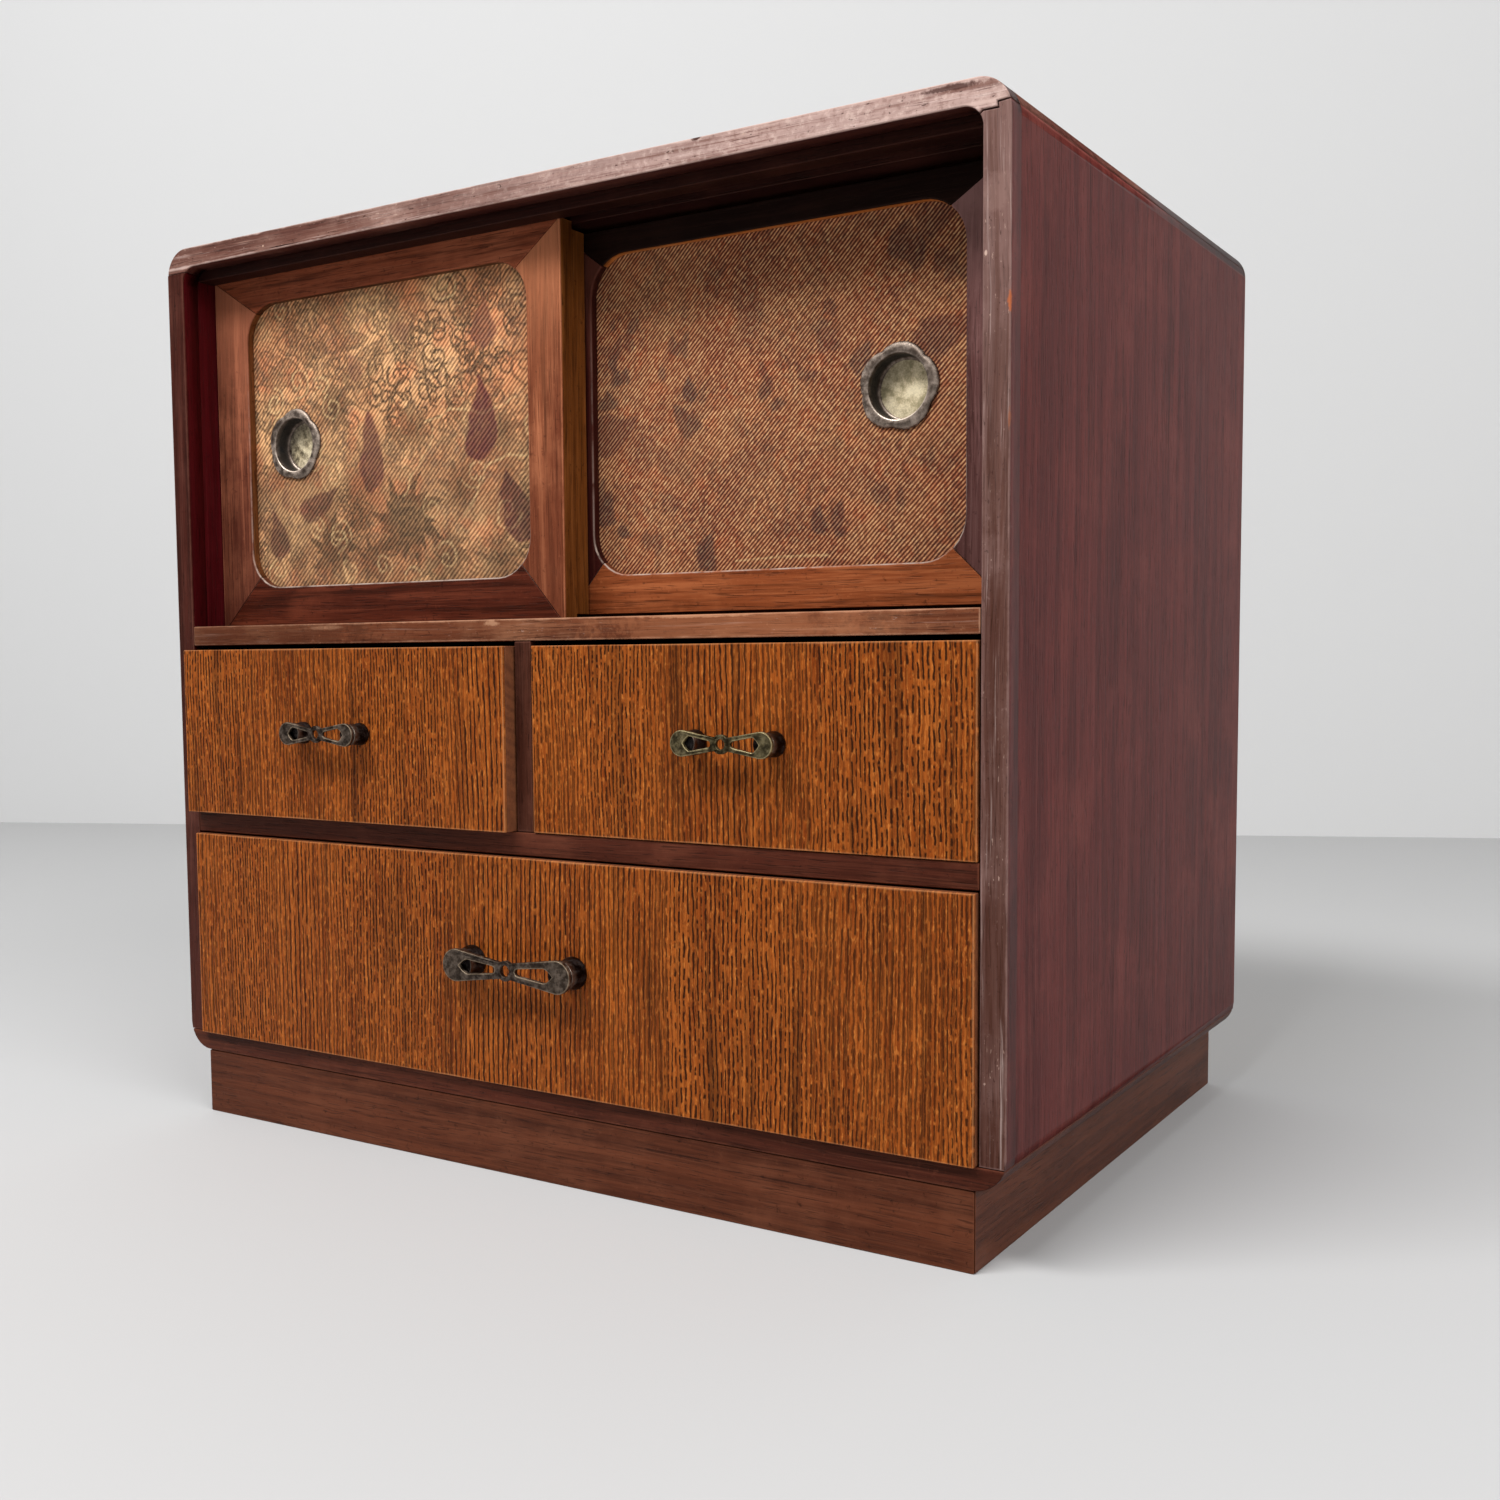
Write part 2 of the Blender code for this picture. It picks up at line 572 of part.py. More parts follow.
def drawer(prefix, parent, middle, base, opening, proud, size):
    """Open box behind a veneered front, with its bottom held in grooves."""
    wide, tall, clearance = opening
    frame = new_frame(prefix + "_slide", (middle, -proud, base + FIT_GAP), parent)
    half = wide / 2 - DRAWER_SIDE_CLEARANCE
    height = tall - FIT_GAP - clearance
    front_near = DRAWER_FACE + FIT_GAP
    front_far = front_near + DRAWER_FRONT
    box_near = front_far + FIT_GAP
    board(prefix + "_face", (-half, 0, 0), (half, DRAWER_FACE, height), frame, "oak_veneer")
    front = board(prefix + "_front", (-half, front_near, 0), (half, front_far, height), frame,
                  "plain_softwood")
    outer = half - DRAWER_SIDE_INSET
    inner = outer - DRAWER_BOARD
    side_height = height - DRAWER_SIDE_DROP
    left = board(prefix + "_left_side", (-outer, box_near, 0), (-inner, DRAWER_LENGTH, side_height), frame,
                 "plain_softwood")
    right = board(prefix + "_right_side", (inner, box_near, 0), (outer, DRAWER_LENGTH, side_height), frame,
                  "plain_softwood")
    bottom_low = DRAWER_BOTTOM_HEIGHT
    bottom_high = bottom_low + DRAWER_BOTTOM
    bottom_half = inner + DRAWER_BOTTOM_TENON
    bottom_near = front_far - DRAWER_BOTTOM_TENON
    board(prefix + "_bottom", (-bottom_half, bottom_near, bottom_low),
          (bottom_half, DRAWER_LENGTH, bottom_high), frame, "plain_softwood")
    groove = box_cutter(prefix + "_bottom_groove",
                        (-bottom_half - FIT_GAP, bottom_near - FIT_GAP, bottom_low - FIT_GAP),
                        (bottom_half + FIT_GAP, DRAWER_LENGTH + OVERRUN, bottom_high + FIT_GAP), frame)
    for piece in (front, left, right):
        shape(piece, groove)
    back_half = inner - FIT_GAP
    board(prefix + "_back", (-back_half, DRAWER_LENGTH - DRAWER_BOARD, bottom_high + FIT_GAP),
          (back_half, DRAWER_LENGTH, side_height - DRAWER_BACK_DROP), frame, "plain_softwood")
    handle(prefix, frame, size, height / 2 + size["raise"])


def handle_reach(size):
    return size["plate"] + size["post_height"] + 2 * FIT_GAP


def cabinet():
    front_reach = max(UPPER_LEFT_PROUD + handle_reach(SMALL_HANDLE),
                      UPPER_RIGHT_PROUD + handle_reach(SMALL_HANDLE),
                      LOWER_PROUD + handle_reach(LARGE_HANDLE))
    origin = new_frame("cabinet_frame", (0, (front_reach - DEPTH) / 2, 0))
    carcass(origin)
    corner_blocks(origin)
    shelf_and_track(origin)
    drawer_supports(origin)
    plinth(origin)
    door_middle = HALF_INSIDE - DOOR_END_GAP - DOOR_WIDTH / 2
    half_door = DOOR_WIDTH / 2
    sliding_door("left_door", origin, -door_middle, DOOR_SETBACK, True,
                 (STILE_WIDTH, MEETING_STILE_WIDTH), LEFT_PULL_DISTANCE - half_door)
    sliding_door("right_door", origin, door_middle, REAR_DOOR_SETBACK, False,
                 (MEETING_STILE_WIDTH, STILE_WIDTH), half_door - RIGHT_PULL_DISTANCE)
    half_opening = HALF_INSIDE - DIVIDER_THICKNESS / 2
    half_middle = DIVIDER_THICKNESS / 2 + half_opening / 2
    upper = (half_opening, UPPER_OPENING, UPPER_DRAWER_CLEARANCE)
    drawer("upper_left_drawer", origin, -half_middle, RAIL_TOP, upper, UPPER_LEFT_PROUD, SMALL_HANDLE)
    drawer("upper_right_drawer", origin, half_middle, RAIL_TOP, upper, UPPER_RIGHT_PROUD, SMALL_HANDLE)
    lower = (2 * HALF_INSIDE, LOWER_OPENING, LOWER_DRAWER_CLEARANCE)
    drawer("lower_drawer", origin, 0, BOTTOM_TOP, lower, LOWER_PROUD, LARGE_HANDLE)


clear_scene()
PARTS = new_collection("sliding_door_cabinet")
CUTTERS = new_collection("cutters")
cabinet()
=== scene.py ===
"""Looks of a small wooden cabinet with sliding cloth-panelled doors over three drawers."""
from math import asin, atan, cos, degrees, pi, radians, sin, sqrt, tau

import bmesh
import bpy
import numpy as np
from mathutils import Matrix, Vector


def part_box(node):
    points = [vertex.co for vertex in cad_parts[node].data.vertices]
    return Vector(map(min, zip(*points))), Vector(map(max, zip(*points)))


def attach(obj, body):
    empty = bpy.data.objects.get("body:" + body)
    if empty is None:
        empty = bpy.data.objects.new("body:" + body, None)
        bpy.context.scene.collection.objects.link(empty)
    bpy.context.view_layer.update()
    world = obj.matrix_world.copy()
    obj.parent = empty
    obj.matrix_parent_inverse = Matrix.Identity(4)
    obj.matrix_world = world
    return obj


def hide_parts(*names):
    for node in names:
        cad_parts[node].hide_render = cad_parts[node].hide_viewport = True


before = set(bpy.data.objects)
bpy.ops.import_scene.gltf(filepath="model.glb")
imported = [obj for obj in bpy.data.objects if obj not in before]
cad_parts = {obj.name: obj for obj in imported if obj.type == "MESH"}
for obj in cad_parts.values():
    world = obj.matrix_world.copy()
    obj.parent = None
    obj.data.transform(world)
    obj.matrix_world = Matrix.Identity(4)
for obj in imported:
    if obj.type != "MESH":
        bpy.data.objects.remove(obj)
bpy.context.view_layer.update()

# Carcass corner that the camera and the wear are placed from: left, front, floor
CORNER = Vector((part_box("left_side_board")[0].x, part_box("top_board")[0].y, 0.0))
TOP_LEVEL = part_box("top_board")[1].z
DRAWERS = ("upper_left_drawer", "upper_right_drawer", "lower_drawer")
DOORS = ("left_door", "right_door")
TOUCH = 1e-6


def maths(kind, operation, output=0):
    """Method that adds one maths node on a shade and the values that it is given."""
    def method(self, *values):
        return self.add(kind, {"operation": operation}, dict(enumerate((self, *values))), output)
    return method


class Shade:
    """A socket of one material. Arithmetic on it adds maths nodes, and add() any other node."""

    __add__ = __radd__ = maths("Math", "ADD")
    __mul__ = __rmul__ = maths("Math", "MULTIPLY")
    __sub__ = maths("Math", "SUBTRACT")
    __truediv__ = maths("Math", "DIVIDE")
    __abs__ = maths("Math", "ABSOLUTE")
    least = maths("Math", "MINIMUM")
    most = maths("Math", "MAXIMUM")
    sine = maths("Math", "SINE")
    floor = maths("Math", "FLOOR")
    plus = maths("VectorMath", "ADD")
    minus = maths("VectorMath", "SUBTRACT")
    times = maths("VectorMath", "MULTIPLY")
    smaller = maths("VectorMath", "MINIMUM")
    positive = maths("VectorMath", "ABSOLUTE")
    length = maths("VectorMath", "LENGTH", "Value")

    def __init__(self, tree, socket=None):
        self.tree = tree
        self.socket = socket

    def add(self, kind, settings=None, sockets=None, output=0):
        node = self.tree.nodes.new("ShaderNode" + kind)
        for name, value in (settings or {}).items():
            setattr(node, name, value)
        for name, value in (sockets or {}).items():
            if isinstance(value, Shade):
                self.tree.links.new(value.socket, node.inputs[name])
            else:
                node.inputs[name].default_value = value
        return Shade(self.tree, node.outputs[output])

    def other(self, output):
        """Another output of the same node."""
        return Shade(self.tree, self.socket.node.outputs[output])

    def __rsub__(self, value):
        return self.add("Math", {"operation": "SUBTRACT"}, {0: value, 1: self})

    def rise(self, low, high):
        """Smooth step from 0 at low to 1 at high, or back down where high is the smaller."""
        return self.add("MapRange", {"interpolation_type": "SMOOTHSTEP"},
                        {"Value": self, "From Min": low, "From Max": high})

    def parts(self):
        split = self.add("SeparateXYZ", sockets={0: self})
        return split, split.other(1), split.other(2)

    def vector(self, x, y, z):
        return self.add("CombineXYZ", sockets={0: x, 1: y, 2: z})

    def attribute(self, name, output="Vector"):
        return self.add("Attribute", {"attribute_name": name}, output=output)

    def noise(self, *factors, detail=2.0, roughness=0.5):
        """Noise, 0 to 1, at this point multiplied by one factor, three or none."""
        spot = self.times(factors if len(factors) == 3 else factors * 3) if factors else self
        return self.add("TexNoise", sockets={"Vector": spot, "Scale": 1.0, "Detail": detail,
                                             "Roughness": roughness})

    def mix(self, first, second):
        """Colour between two, with this as the share of the second."""
        return self.add("Mix", {"data_type": "RGBA"}, {0: self, 6: first, 7: second}, 2)

    def tint(self, colour, share):
        """This colour multiplied by another, by a share."""
        return self.add("Mix", {"data_type": "RGBA", "blend_type": "MULTIPLY"},
                        {0: share, 6: self, 7: colour}, 2)

    def bump(self, distance, strength):
        return self.add("Bump", sockets={"Height": self, "Distance": distance, "Strength": strength})


def rgb(red, green, blue):
    """Linear colour from the 0 to 255 values of a display."""
    def linear(value):
        value /= 255
        return value / 12.92 if value <= 0.04045 else ((value + 0.055) / 1.055) ** 2.4
    return (linear(red), linear(green), linear(blue), 1.0)


def darker(colour, share):
    return tuple(share * part for part in colour[:3]) + (1.0,)


def new_material(name):
    """The object point to build one material on, and a function that links the finished sockets."""
    material = bpy.data.materials.new(name)
    material.use_nodes = True
    tree = material.node_tree
    shader = tree.nodes["Principled BSDF"]

    def finish(constants, **links):
        for socket, value in constants.items():
            shader.inputs[socket].default_value = value
        for socket, value in links.items():
            tree.links.new(value.socket, shader.inputs[socket.replace("_", " ").title()])
        return material

    return Shade(tree).add("TexCoord", output="Object"), finish


def edge_distance(point):
    """Distance from the nearest edge of the board that the point lies on."""
    from_low = point.minus(point.attribute("low"))
    from_high = point.attribute("high").minus(point)
    x, y, z = from_low.smaller(from_high).positive().parts()
    return x.least(y).most(x.most(y).least(z))


def along_grain(point, grain):
    """Point with the grain direction first."""
    x, y, z = point.parts()
    order = {"x": (x, y, z), "y": (y, x, z), "z": (z, x, y)}[grain]
    return point.vector(*order)


# Marks: place from the carcass corner, reach, colour and share, lengths in millimetres
TOP_MARKS = (
    ((353.5, 0, 487.6), (2.6, 3.0, 1.3), (60, 32, 28), 0.95),
    ((91.0, 0, 478.4), (15.0, 2.0, 0.35), (34, 14, 12), 0.95),
    ((77.3, 0, 480.2), (0.9, 2.0, 0.7), (196, 160, 140), 0.9),
    ((164.0, 0, 479.0), (1.3, 2.0, 0.5), (180, 140, 120), 0.8),
    ((472.0, 0, 485.6), (16.0, 2.0, 1.4), (58, 30, 27), 0.8),
)
SIDE_MARKS = (
    ((500.0, 0, 399.0), (1.3, 1.8, 4.4), (176, 96, 56), 0.9),
    ((489.5, 0, 418.7), (0.7, 2.0, 1.4), (206, 176, 160), 0.8),
    ((495.0, 0, 441.0), (7.0, 2.0, 9.0), (142, 112, 104), 0.4),
    ((499.6, 0, 352.0), (0.6, 2.0, 5.0), (150, 88, 58), 0.6),
)
SILL_MARKS = (
    ((231.9, 0, 276.4), (6.0, 2.4, 1.6), (180, 134, 104), 0.75),
    ((116.3, 0, 276.2), (13.0, 2.2, 1.2), (176, 128, 98), 0.8),
    ((350.0, 0, 277.6), (30.0, 1.6, 0.8), (190, 142, 110), 0.7),
    # Broad patches: lighter over the middle right of the sill front, darker at its left
    ((370.0, 0, 272.0), (85.0, 14.0, 14.0), (176, 110, 74), 0.32),
    ((50.0, 0, 272.0), (110.0, 14.0, 14.0), (70, 36, 22), 0.55),
)
PLINTH_MARKS = (
    ((70.3, 0.8, 0.6), (4.2, 3.0, 1.8), (54, 28, 20), 0.9),
    ((340.0, 0.8, 26.8), (26.0, 2.0, 0.5), (40, 18, 12), 0.8),
    ((398.0, 0.8, 24.2), (32.0, 2.0, 0.5), (40, 18, 12), 0.8),
)


def with_marks(colour, point, ragged, marks):
    """Colour with chips, stains and scratches laid over it."""
    for place, reach, tint, share in marks:
        spot = CORNER + Vector(place) / 1000
        off = point.minus(tuple(spot)).times(tuple(1000 / part for part in reach)).length()
        colour = ((off + (ragged - 0.5) * 3.0).rise(1.1, 0.5) * share).mix(colour, rgb(*tint))
    return colour


WORN_EDGE = 0.0011


def lacquered_wood(name, grain, body, front=None, wear=0.6, marks=(), scuff=0.0, bare=None, figure=0.25,
                   lining=None, bleach_and_sheen=None):
    """Old lacquer on a fine straight grain, rubbed along its edges, faded on its front.

    Body and front are deep, ground and pale tones. The lining names the board's outer corner and the
    tones of its inner face. Bleach-and-sheen says where along the front the change starts and ends, how
    strong it is and its tone: along a level board it is real bleaching, up an upright board a painted
    sheen, paler towards the top, with painted shade at the foot. A lip attribute lays a painted highlight.
    """
    point, finish = new_material(name)
    moved = point.plus(point.attribute("tone"))
    run = along_grain(moved, grain)
    sway = run.noise(6, 14, 14, detail=1)
    bent = run.add("VectorMath", {"operation": "MULTIPLY_ADD"},
                   {0: sway.other("Color"), 1: (0, 0.006, 0.006), 2: run})
    streak = bent.noise(3.0, 120, 120, detail=5, roughness=0.65)
    fibre = bent.noise(26, 1000, 1000, detail=3, roughness=0.65)
    pores = bent.noise(70, 1700, 1700, detail=1).rise(0.60, 0.70)
    scratch = bent.noise(9, 1500, 1500).rise(0.64, 0.74)
    cloud = moved.noise(16, detail=5, roughness=0.65)
    fleck = moved.noise(330, detail=3, roughness=0.7)
    rub = moved.noise(70, detail=6, roughness=0.68)
    scrape = bent.noise(38, 1300, 1300, detail=3, roughness=0.7).rise(0.57, 0.68)
    speck = bent.noise(300, 850, 850, roughness=0.6)
    vein = bent.noise(9, 430, 430, detail=4, roughness=0.7)
    band = bent.noise(7, 210, 210, detail=4, roughness=0.7)

    def tones(deep, ground, pale):
        dark = darker(deep, 0.3)
        colour = streak.rise(0.32, 0.64).mix(deep, ground)
        colour = (cloud.rise(0.46, 0.74) * 0.6).mix(colour, pale)
        light = fibre.rise(0.45, 0.75) * 0.3 + scratch * 0.35 + fleck.rise(0.60, 0.78) * 0.4
        colour = light.mix(colour, pale)
        colour = (band.rise(0.53, 0.66) * figure).mix(colour, pale)
        colour = (band.rise(0.49, 0.36) * figure).mix(colour, dark)
        colour = (vein.rise(0.56, 0.74) * 0.4).mix(colour, pale)
        colour = (vein.rise(0.46, 0.28) * 0.55).mix(colour, dark)
        return (pores * 0.55 + fleck.rise(0.40, 0.26) * 0.6).least(0.85).mix(colour, dark)

    body = [rgb(*tone) for tone in body]
    colour = tones(*body)
    if lining:
        outer_corner, inner_tones = lining
        depth, _, _ = point.minus(point.attribute(outer_corner)).parts()
        colour = abs(depth).rise(0.003, 0.004).mix(colour, tones(*(rgb(*tone) for tone in inner_tones)))
    worn_tint = body[2]
    if front:
        deep, ground, pale = (rgb(*tone) for tone in front)
        x, y, z = point.minus(point.attribute("low")).parts()
        wide, _, tall = point.attribute("high").minus(point.attribute("low")).parts()
        at_front = y.rise(0.0012, 0.0004)
        faded = tones(deep, ground, pale)
        # Along a level board this is real bleaching; up an upright board it is a painted sheen, paler towards
        # the top
        if bleach_and_sheen:
            start, end, share, tone = bleach_and_sheen
            along = (z / tall if grain == "z" else x / wide) + (cloud - 0.5) * 0.35
            faded = (along.rise(start, end) * (0.6 + vein * 0.8) * share).least(1.0).mix(faded, rgb(*tone))
            # Painted shade darkening the foot of an upright board
            if grain == "z":
                faded = (along.rise(0.70, 0.10) * share * 0.7).mix(faded, deep)
        faded = (scrape * cloud.rise(0.38, 0.60) * scuff).mix(faded, deep if bleach_and_sheen else pale)
        faded = (vein.rise(0.50, 0.34) * scuff * 0.9).mix(faded, ground)
        faded = (vein.rise(0.58, 0.72) * scuff * 0.6).mix(faded, rgb(222, 200, 192))
        faded = (speck.rise(0.66, 0.73) * cloud.rise(0.42, 0.60) * scuff).mix(faded, rgb(186, 156, 142))
        if bleach_and_sheen and grain == "x":
            crackled = along.rise(start, end) * scuff
            faded = (fleck.rise(0.52, 0.66) * crackled * 0.35).mix(faded, rgb(230, 206, 194))
            faded = (fleck.rise(0.47, 0.33) * crackled * 0.45).mix(faded, ground)
        faded = (speck.rise(0.34, 0.26) * scuff).mix(faded, rgb(40, 18, 15))
        colour = at_front.mix(colour, faded)
        worn_tint = at_front.mix(body[2], rgb(*bare) if bare else pale)
    worn = (edge_distance(point) + (rub - 0.5) * (WORN_EDGE * 2.4)).rise(WORN_EDGE, 0.0) * wear
    colour = worn.mix(colour, worn_tint)
    # Painted grey-white highlight along the lip points of the door frames
    colour = (point.attribute("lip", "Fac") * rub.rise(0.34, 0.60)).mix(colour, rgb(178, 160, 148))
    colour = with_marks(colour, point, rub * 0.5 + fleck * 0.5, marks)
    rough = 0.36 + fibre * 0.10 + worn * 0.15 + cloud * 0.12 + scratch * 0.08
    height = fibre * 0.35 - pores * 0.8 + streak * 0.3 - scratch * 0.4
    return finish({"Specular IOR Level": 0.16, "Specular Tint": rgb(255, 200, 176)}, base_color=colour,
                  roughness=rough, normal=height.bump(0.00014, 0.7))


OAK_DEEP, OAK_GROUND = rgb(116, 49, 14), rgb(154, 78, 26)
OAK_PALE, OAK_PORE = rgb(202, 122, 54), rgb(34, 14, 7)


def oak_veneer(name):
    """Ring-porous oak with dark pores in wavy upright lines, under an orange-brown stain."""
    point, finish = new_material(name)
    run = along_grain(point.plus(point.attribute("tone")), "z")
    along, across, _ = run.parts()
    slow = run.noise(2.2, 9, 0, detail=1)
    sway = run.noise(18, 70, 0, detail=3, roughness=0.6)
    jitter = run.noise(210, 330, 0)
    place = across + (slow - 0.5) * 0.016 + (sway - 0.5) * 0.0040 + (jitter - 0.5) * 0.0013

    def pore_lines(period, half_width, dash_length, low, high):
        count = place / period
        line = abs(count - count.floor() - 0.5).rise(half_width * 1.5, half_width * 0.6)
        dash = run.vector(along / dash_length, count.floor() * 7.31, 0.0).noise()
        return line * dash.rise(low, high)

    width = run.noise(1.4, 11, 0, detail=1).rise(0.40, 0.60)
    vessel = pore_lines(0.0031, 0.145, 0.013, 0.35, 0.45) * (0.35 + width * 0.65)
    vessel = vessel.most(pore_lines(0.0022, 0.18, 0.0062, 0.39, 0.50) * (1.0 - width * 0.6))
    bent = run.vector(along, place, 0.0)
    fibre = bent.noise(40, 2300, 0)
    band = bent.noise(10, 240, 0, detail=3, roughness=0.6)
    cloud = run.noise(6, 34, 0, detail=4, roughness=0.6)
    fleck = run.noise(260, 700, 0)
    ground = (cloud * 0.5 + band * 0.5).rise(0.36, 0.64).mix(OAK_DEEP, OAK_GROUND)
    ground = (fibre.rise(0.42, 0.7) * 0.4 + fleck.rise(0.56, 0.70) * 0.5).mix(ground, OAK_PALE)
    ground = (fleck.rise(0.44, 0.32) * 0.35).mix(ground, OAK_PORE)
    dark_streak = bent.noise(5, 90, 0, detail=3, roughness=0.65)
    ground = (dark_streak.rise(0.50, 0.72) * 0.55).mix(ground, OAK_PORE)
    colour = (vessel * 0.96).mix(ground, OAK_PORE)
    worn = (edge_distance(point) + (cloud - 0.5) * 0.002).rise(0.0010, 0.0) * 0.55
    colour = worn.mix(colour, rgb(190, 126, 80))
    rough = 0.40 + vessel * 0.2 + fibre * 0.08
    height = fibre * 0.25 - vessel
    return finish({"Specular IOR Level": 0.16, "Specular Tint": rgb(255, 190, 140)}, base_color=colour,
                  roughness=rough, normal=height.bump(0.00026, 0.8))


def bare_wood(name, grain, light, dark):
    """Plain planed wood of the drawer boxes, runners and back."""
    point, finish = new_material(name)
    moved = point.plus(point.attribute("tone"))
    run = along_grain(moved, grain)
    sway = run.noise(3, 12, 12)
    drift = run.noise(1.2, 5, 5, detail=1)
    _, across, through = run.parts()
    ring = ((across + through * 0.6 + sway * 0.04 + drift * 0.22) * (2 * pi / 0.009)).sine()
    fibre = run.noise(25, 700, 700, detail=3)
    stain = moved.noise(7, detail=4, roughness=0.65)
    colour = (ring.rise(-0.2, 1.0) * (0.15 + sway * 0.6)).mix(light, dark)
    colour = (fibre.rise(0.4, 0.75) * 0.5).mix(colour, dark)
    colour = (stain.rise(0.55, 0.8) * 0.5).mix(colour, darker(dark, 0.5))
    return finish({"Specular IOR Level": 0.3}, base_color=colour, roughness=0.66 + fibre * 0.14,
                  normal=(fibre * 0.6 + ring * 0.1).bump(0.0002, 0.6))


def printed_cloth(name, thread, grounds, mottle, mottle_share, ink, leaf_ink, cover, depth, thread_highlight):
    """Coarse twill with a block print that is carried in the piece's print attribute.

    The hollows of the weave get a painted shade and its raised threads a painted highlight.
    """
    point, finish = new_material(name)
    x, _, z = point.parts()
    leaf = point.add("SeparateColor", sockets={0: point.attribute("print", "Color")})
    line, pale_line = leaf.other(1), leaf.other(2)
    wobble = point.noise(130)
    column, row = x / thread, z / thread
    twill = ((column - row + wobble * 1.4) * (pi / 2)).sine()
    cell = point.add("TexWhiteNoise", {"noise_dimensions": "2D"},
                     {"Vector": point.vector((column / 3).floor(), (row / 3).floor(), 0.0)})
    slub = point.noise(380, roughness=0.6)
    raised = twill.rise(-0.9, 0.9) * 0.70 + cell * 0.20 + (slub - 0.5) * 0.5 + 0.05
    wash = point.noise(26, detail=4, roughness=0.6)
    blush = point.noise(75, detail=4, roughness=0.6)
    smudge = point.noise(260, detail=4, roughness=0.7)
    patch = point.noise(48, detail=3, roughness=0.6)
    first, second, third = (rgb(*tone) for tone in grounds)
    colour = wash.rise(0.34, 0.68).mix(first, third)
    colour = (blush.rise(0.48, 0.66) * 0.6).mix(colour, second)
    colour = (smudge.rise(0.47, 0.58) * patch.rise(0.36, 0.58) * mottle_share).mix(colour, rgb(*mottle))
    rubbed = (cell - 0.5) * 0.3 + (slub - 0.5) * 0.5 + 1.0
    colour = (leaf * rubbed * cover).least(0.9).mix(colour, rgb(*leaf_ink))
    colour = (line * rubbed * cover).least(0.94).mix(colour, rgb(*ink))
    colour = (pale_line * rubbed * 0.8).least(0.9).mix(colour, rgb(232, 194, 140))
    # Painted shade in the hollows of the weave
    colour = colour.tint(rgb(84, 58, 48), raised.rise(0.85, 0.1) * depth)
    # Painted highlight on the raised threads, kept off the inked parts
    plain = 1.0 - (line.most(leaf) * rubbed).least(1.0) * cover * 0.8
    colour = (raised.rise(0.66, 1.10) * plain * thread_highlight).mix(colour, rgb(240, 196, 140))
    return finish({"Specular IOR Level": 0.15, "Roughness": 0.9},
                  base_color=colour, normal=(twill * 0.3 + slub * 0.6).bump(0.0003, 0.5))


def aged_metal(name, dark, ground, bright, gloss, patina):
    """Old metal: dark in its hollows, rubbed bright along its edges, with a dull bloom.

    Its rubbed attribute also lays painted highlights and, below zero, painted shade.
    """
    point, finish = new_material(name)
    dark = rgb(*dark)
    worn = point.attribute("rubbed", "Fac")
    # Below zero the rubbed attribute darkens: dark hollows, and painted shade such as the rim's shadow on a
    # cup floor
    soot_and_shade = (worn * -1.0).most(0.0)
    crust = point.attribute("crust", "Fac")
    cloud = point.noise(260, detail=4, roughness=0.65)
    pit = point.noise(1300, detail=3, roughness=0.6)
    colour = cloud.rise(0.32, 0.7).mix(dark, rgb(*ground))
    colour = (pit.rise(0.5, 0.75) * 0.5).mix(colour, dark)
    shine = (worn * (0.55 + cloud * 0.8)).rise(0.15, 0.95)
    colour = shine.mix(colour, rgb(*bright))
    spoilt = (crust + (cloud - 0.5) * 0.9).rise(0.25, 0.75) * crust.rise(0.0, 0.2)
    stain = point.noise(130, detail=5, roughness=0.7)
    lime = (pit * 0.35 + stain * 0.65).rise(0.38, 0.62).mix(rgb(190, 172, 134), rgb(244, 228, 192))
    lime = (stain.rise(0.46, 0.32) * 0.6).mix(lime, rgb(128, 122, 88))
    colour = spoilt.mix(colour, lime)
    colour = (soot_and_shade * (0.7 + cloud * 0.6)).least(1.0).mix(colour, rgb(13, 10, 8))
    bloom = (cloud * 0.6 + pit * 0.4).rise(0.45, 0.62)
    metallic = (1.0 - bloom * (1.0 - shine * 0.8) * patina) * (1.0 - spoilt) * (1.0 - soot_and_shade.least(1.0))
    rough = gloss + bloom * 0.25 - shine * 0.08 + pit * 0.1 + spoilt * 0.3
    return finish({}, base_color=colour, metallic=metallic, roughness=rough,
                  normal=(pit * 0.6 + cloud).bump(0.00016, 0.6))


def merged_copy(node):
    """Copy of a CAD node's mesh with its loose triangles merged into faces."""
    form = bmesh.new()
    form.from_mesh(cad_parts[node].data)
    bmesh.ops.remove_doubles(form, verts=form.verts, dist=TOUCH)
    bmesh.ops.dissolve_limit(form, angle_limit=radians(1), verts=form.verts, edges=form.edges)
    return form


def sharp_edges(form, degrees=25):
    return [edge for edge in form.edges if edge.calc_face_angle(0.0) > radians(degrees)]


def ease(form, width, segments=2, edges=None, clamp=True):
    """Round edges a little, all the sharp ones unless some are given."""
    chosen = sharp_edges(form) if edges is None else edges
    return bmesh.ops.bevel(form, geom=chosen, offset=width, offset_type="OFFSET", segments=segments,
                           profile=0.5, affect="EDGES", clamp_overlap=clamp, material=-1)


def mark_points(form, name, values):
    """Give each point of a form a value."""
    layer = form.verts.layers.float.new(name)
    for vert, value in zip(form.verts, values):
        vert[layer] = value


def keep(form, name, body, material, slot, *nodes):
    """Finish a piece: mesh, smooth shading, material, and what it rides on and stands for."""
    mesh = bpy.data.meshes.new(name)
    for face in form.faces:
        face.smooth = True
    form.to_mesh(mesh)
    form.free()
    piece = bpy.data.objects.new(name, mesh)
    bpy.context.scene.collection.objects.link(piece)
    mesh.materials.append(material)
    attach(piece, body)
    if nodes:
        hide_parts(*nodes)
    return piece


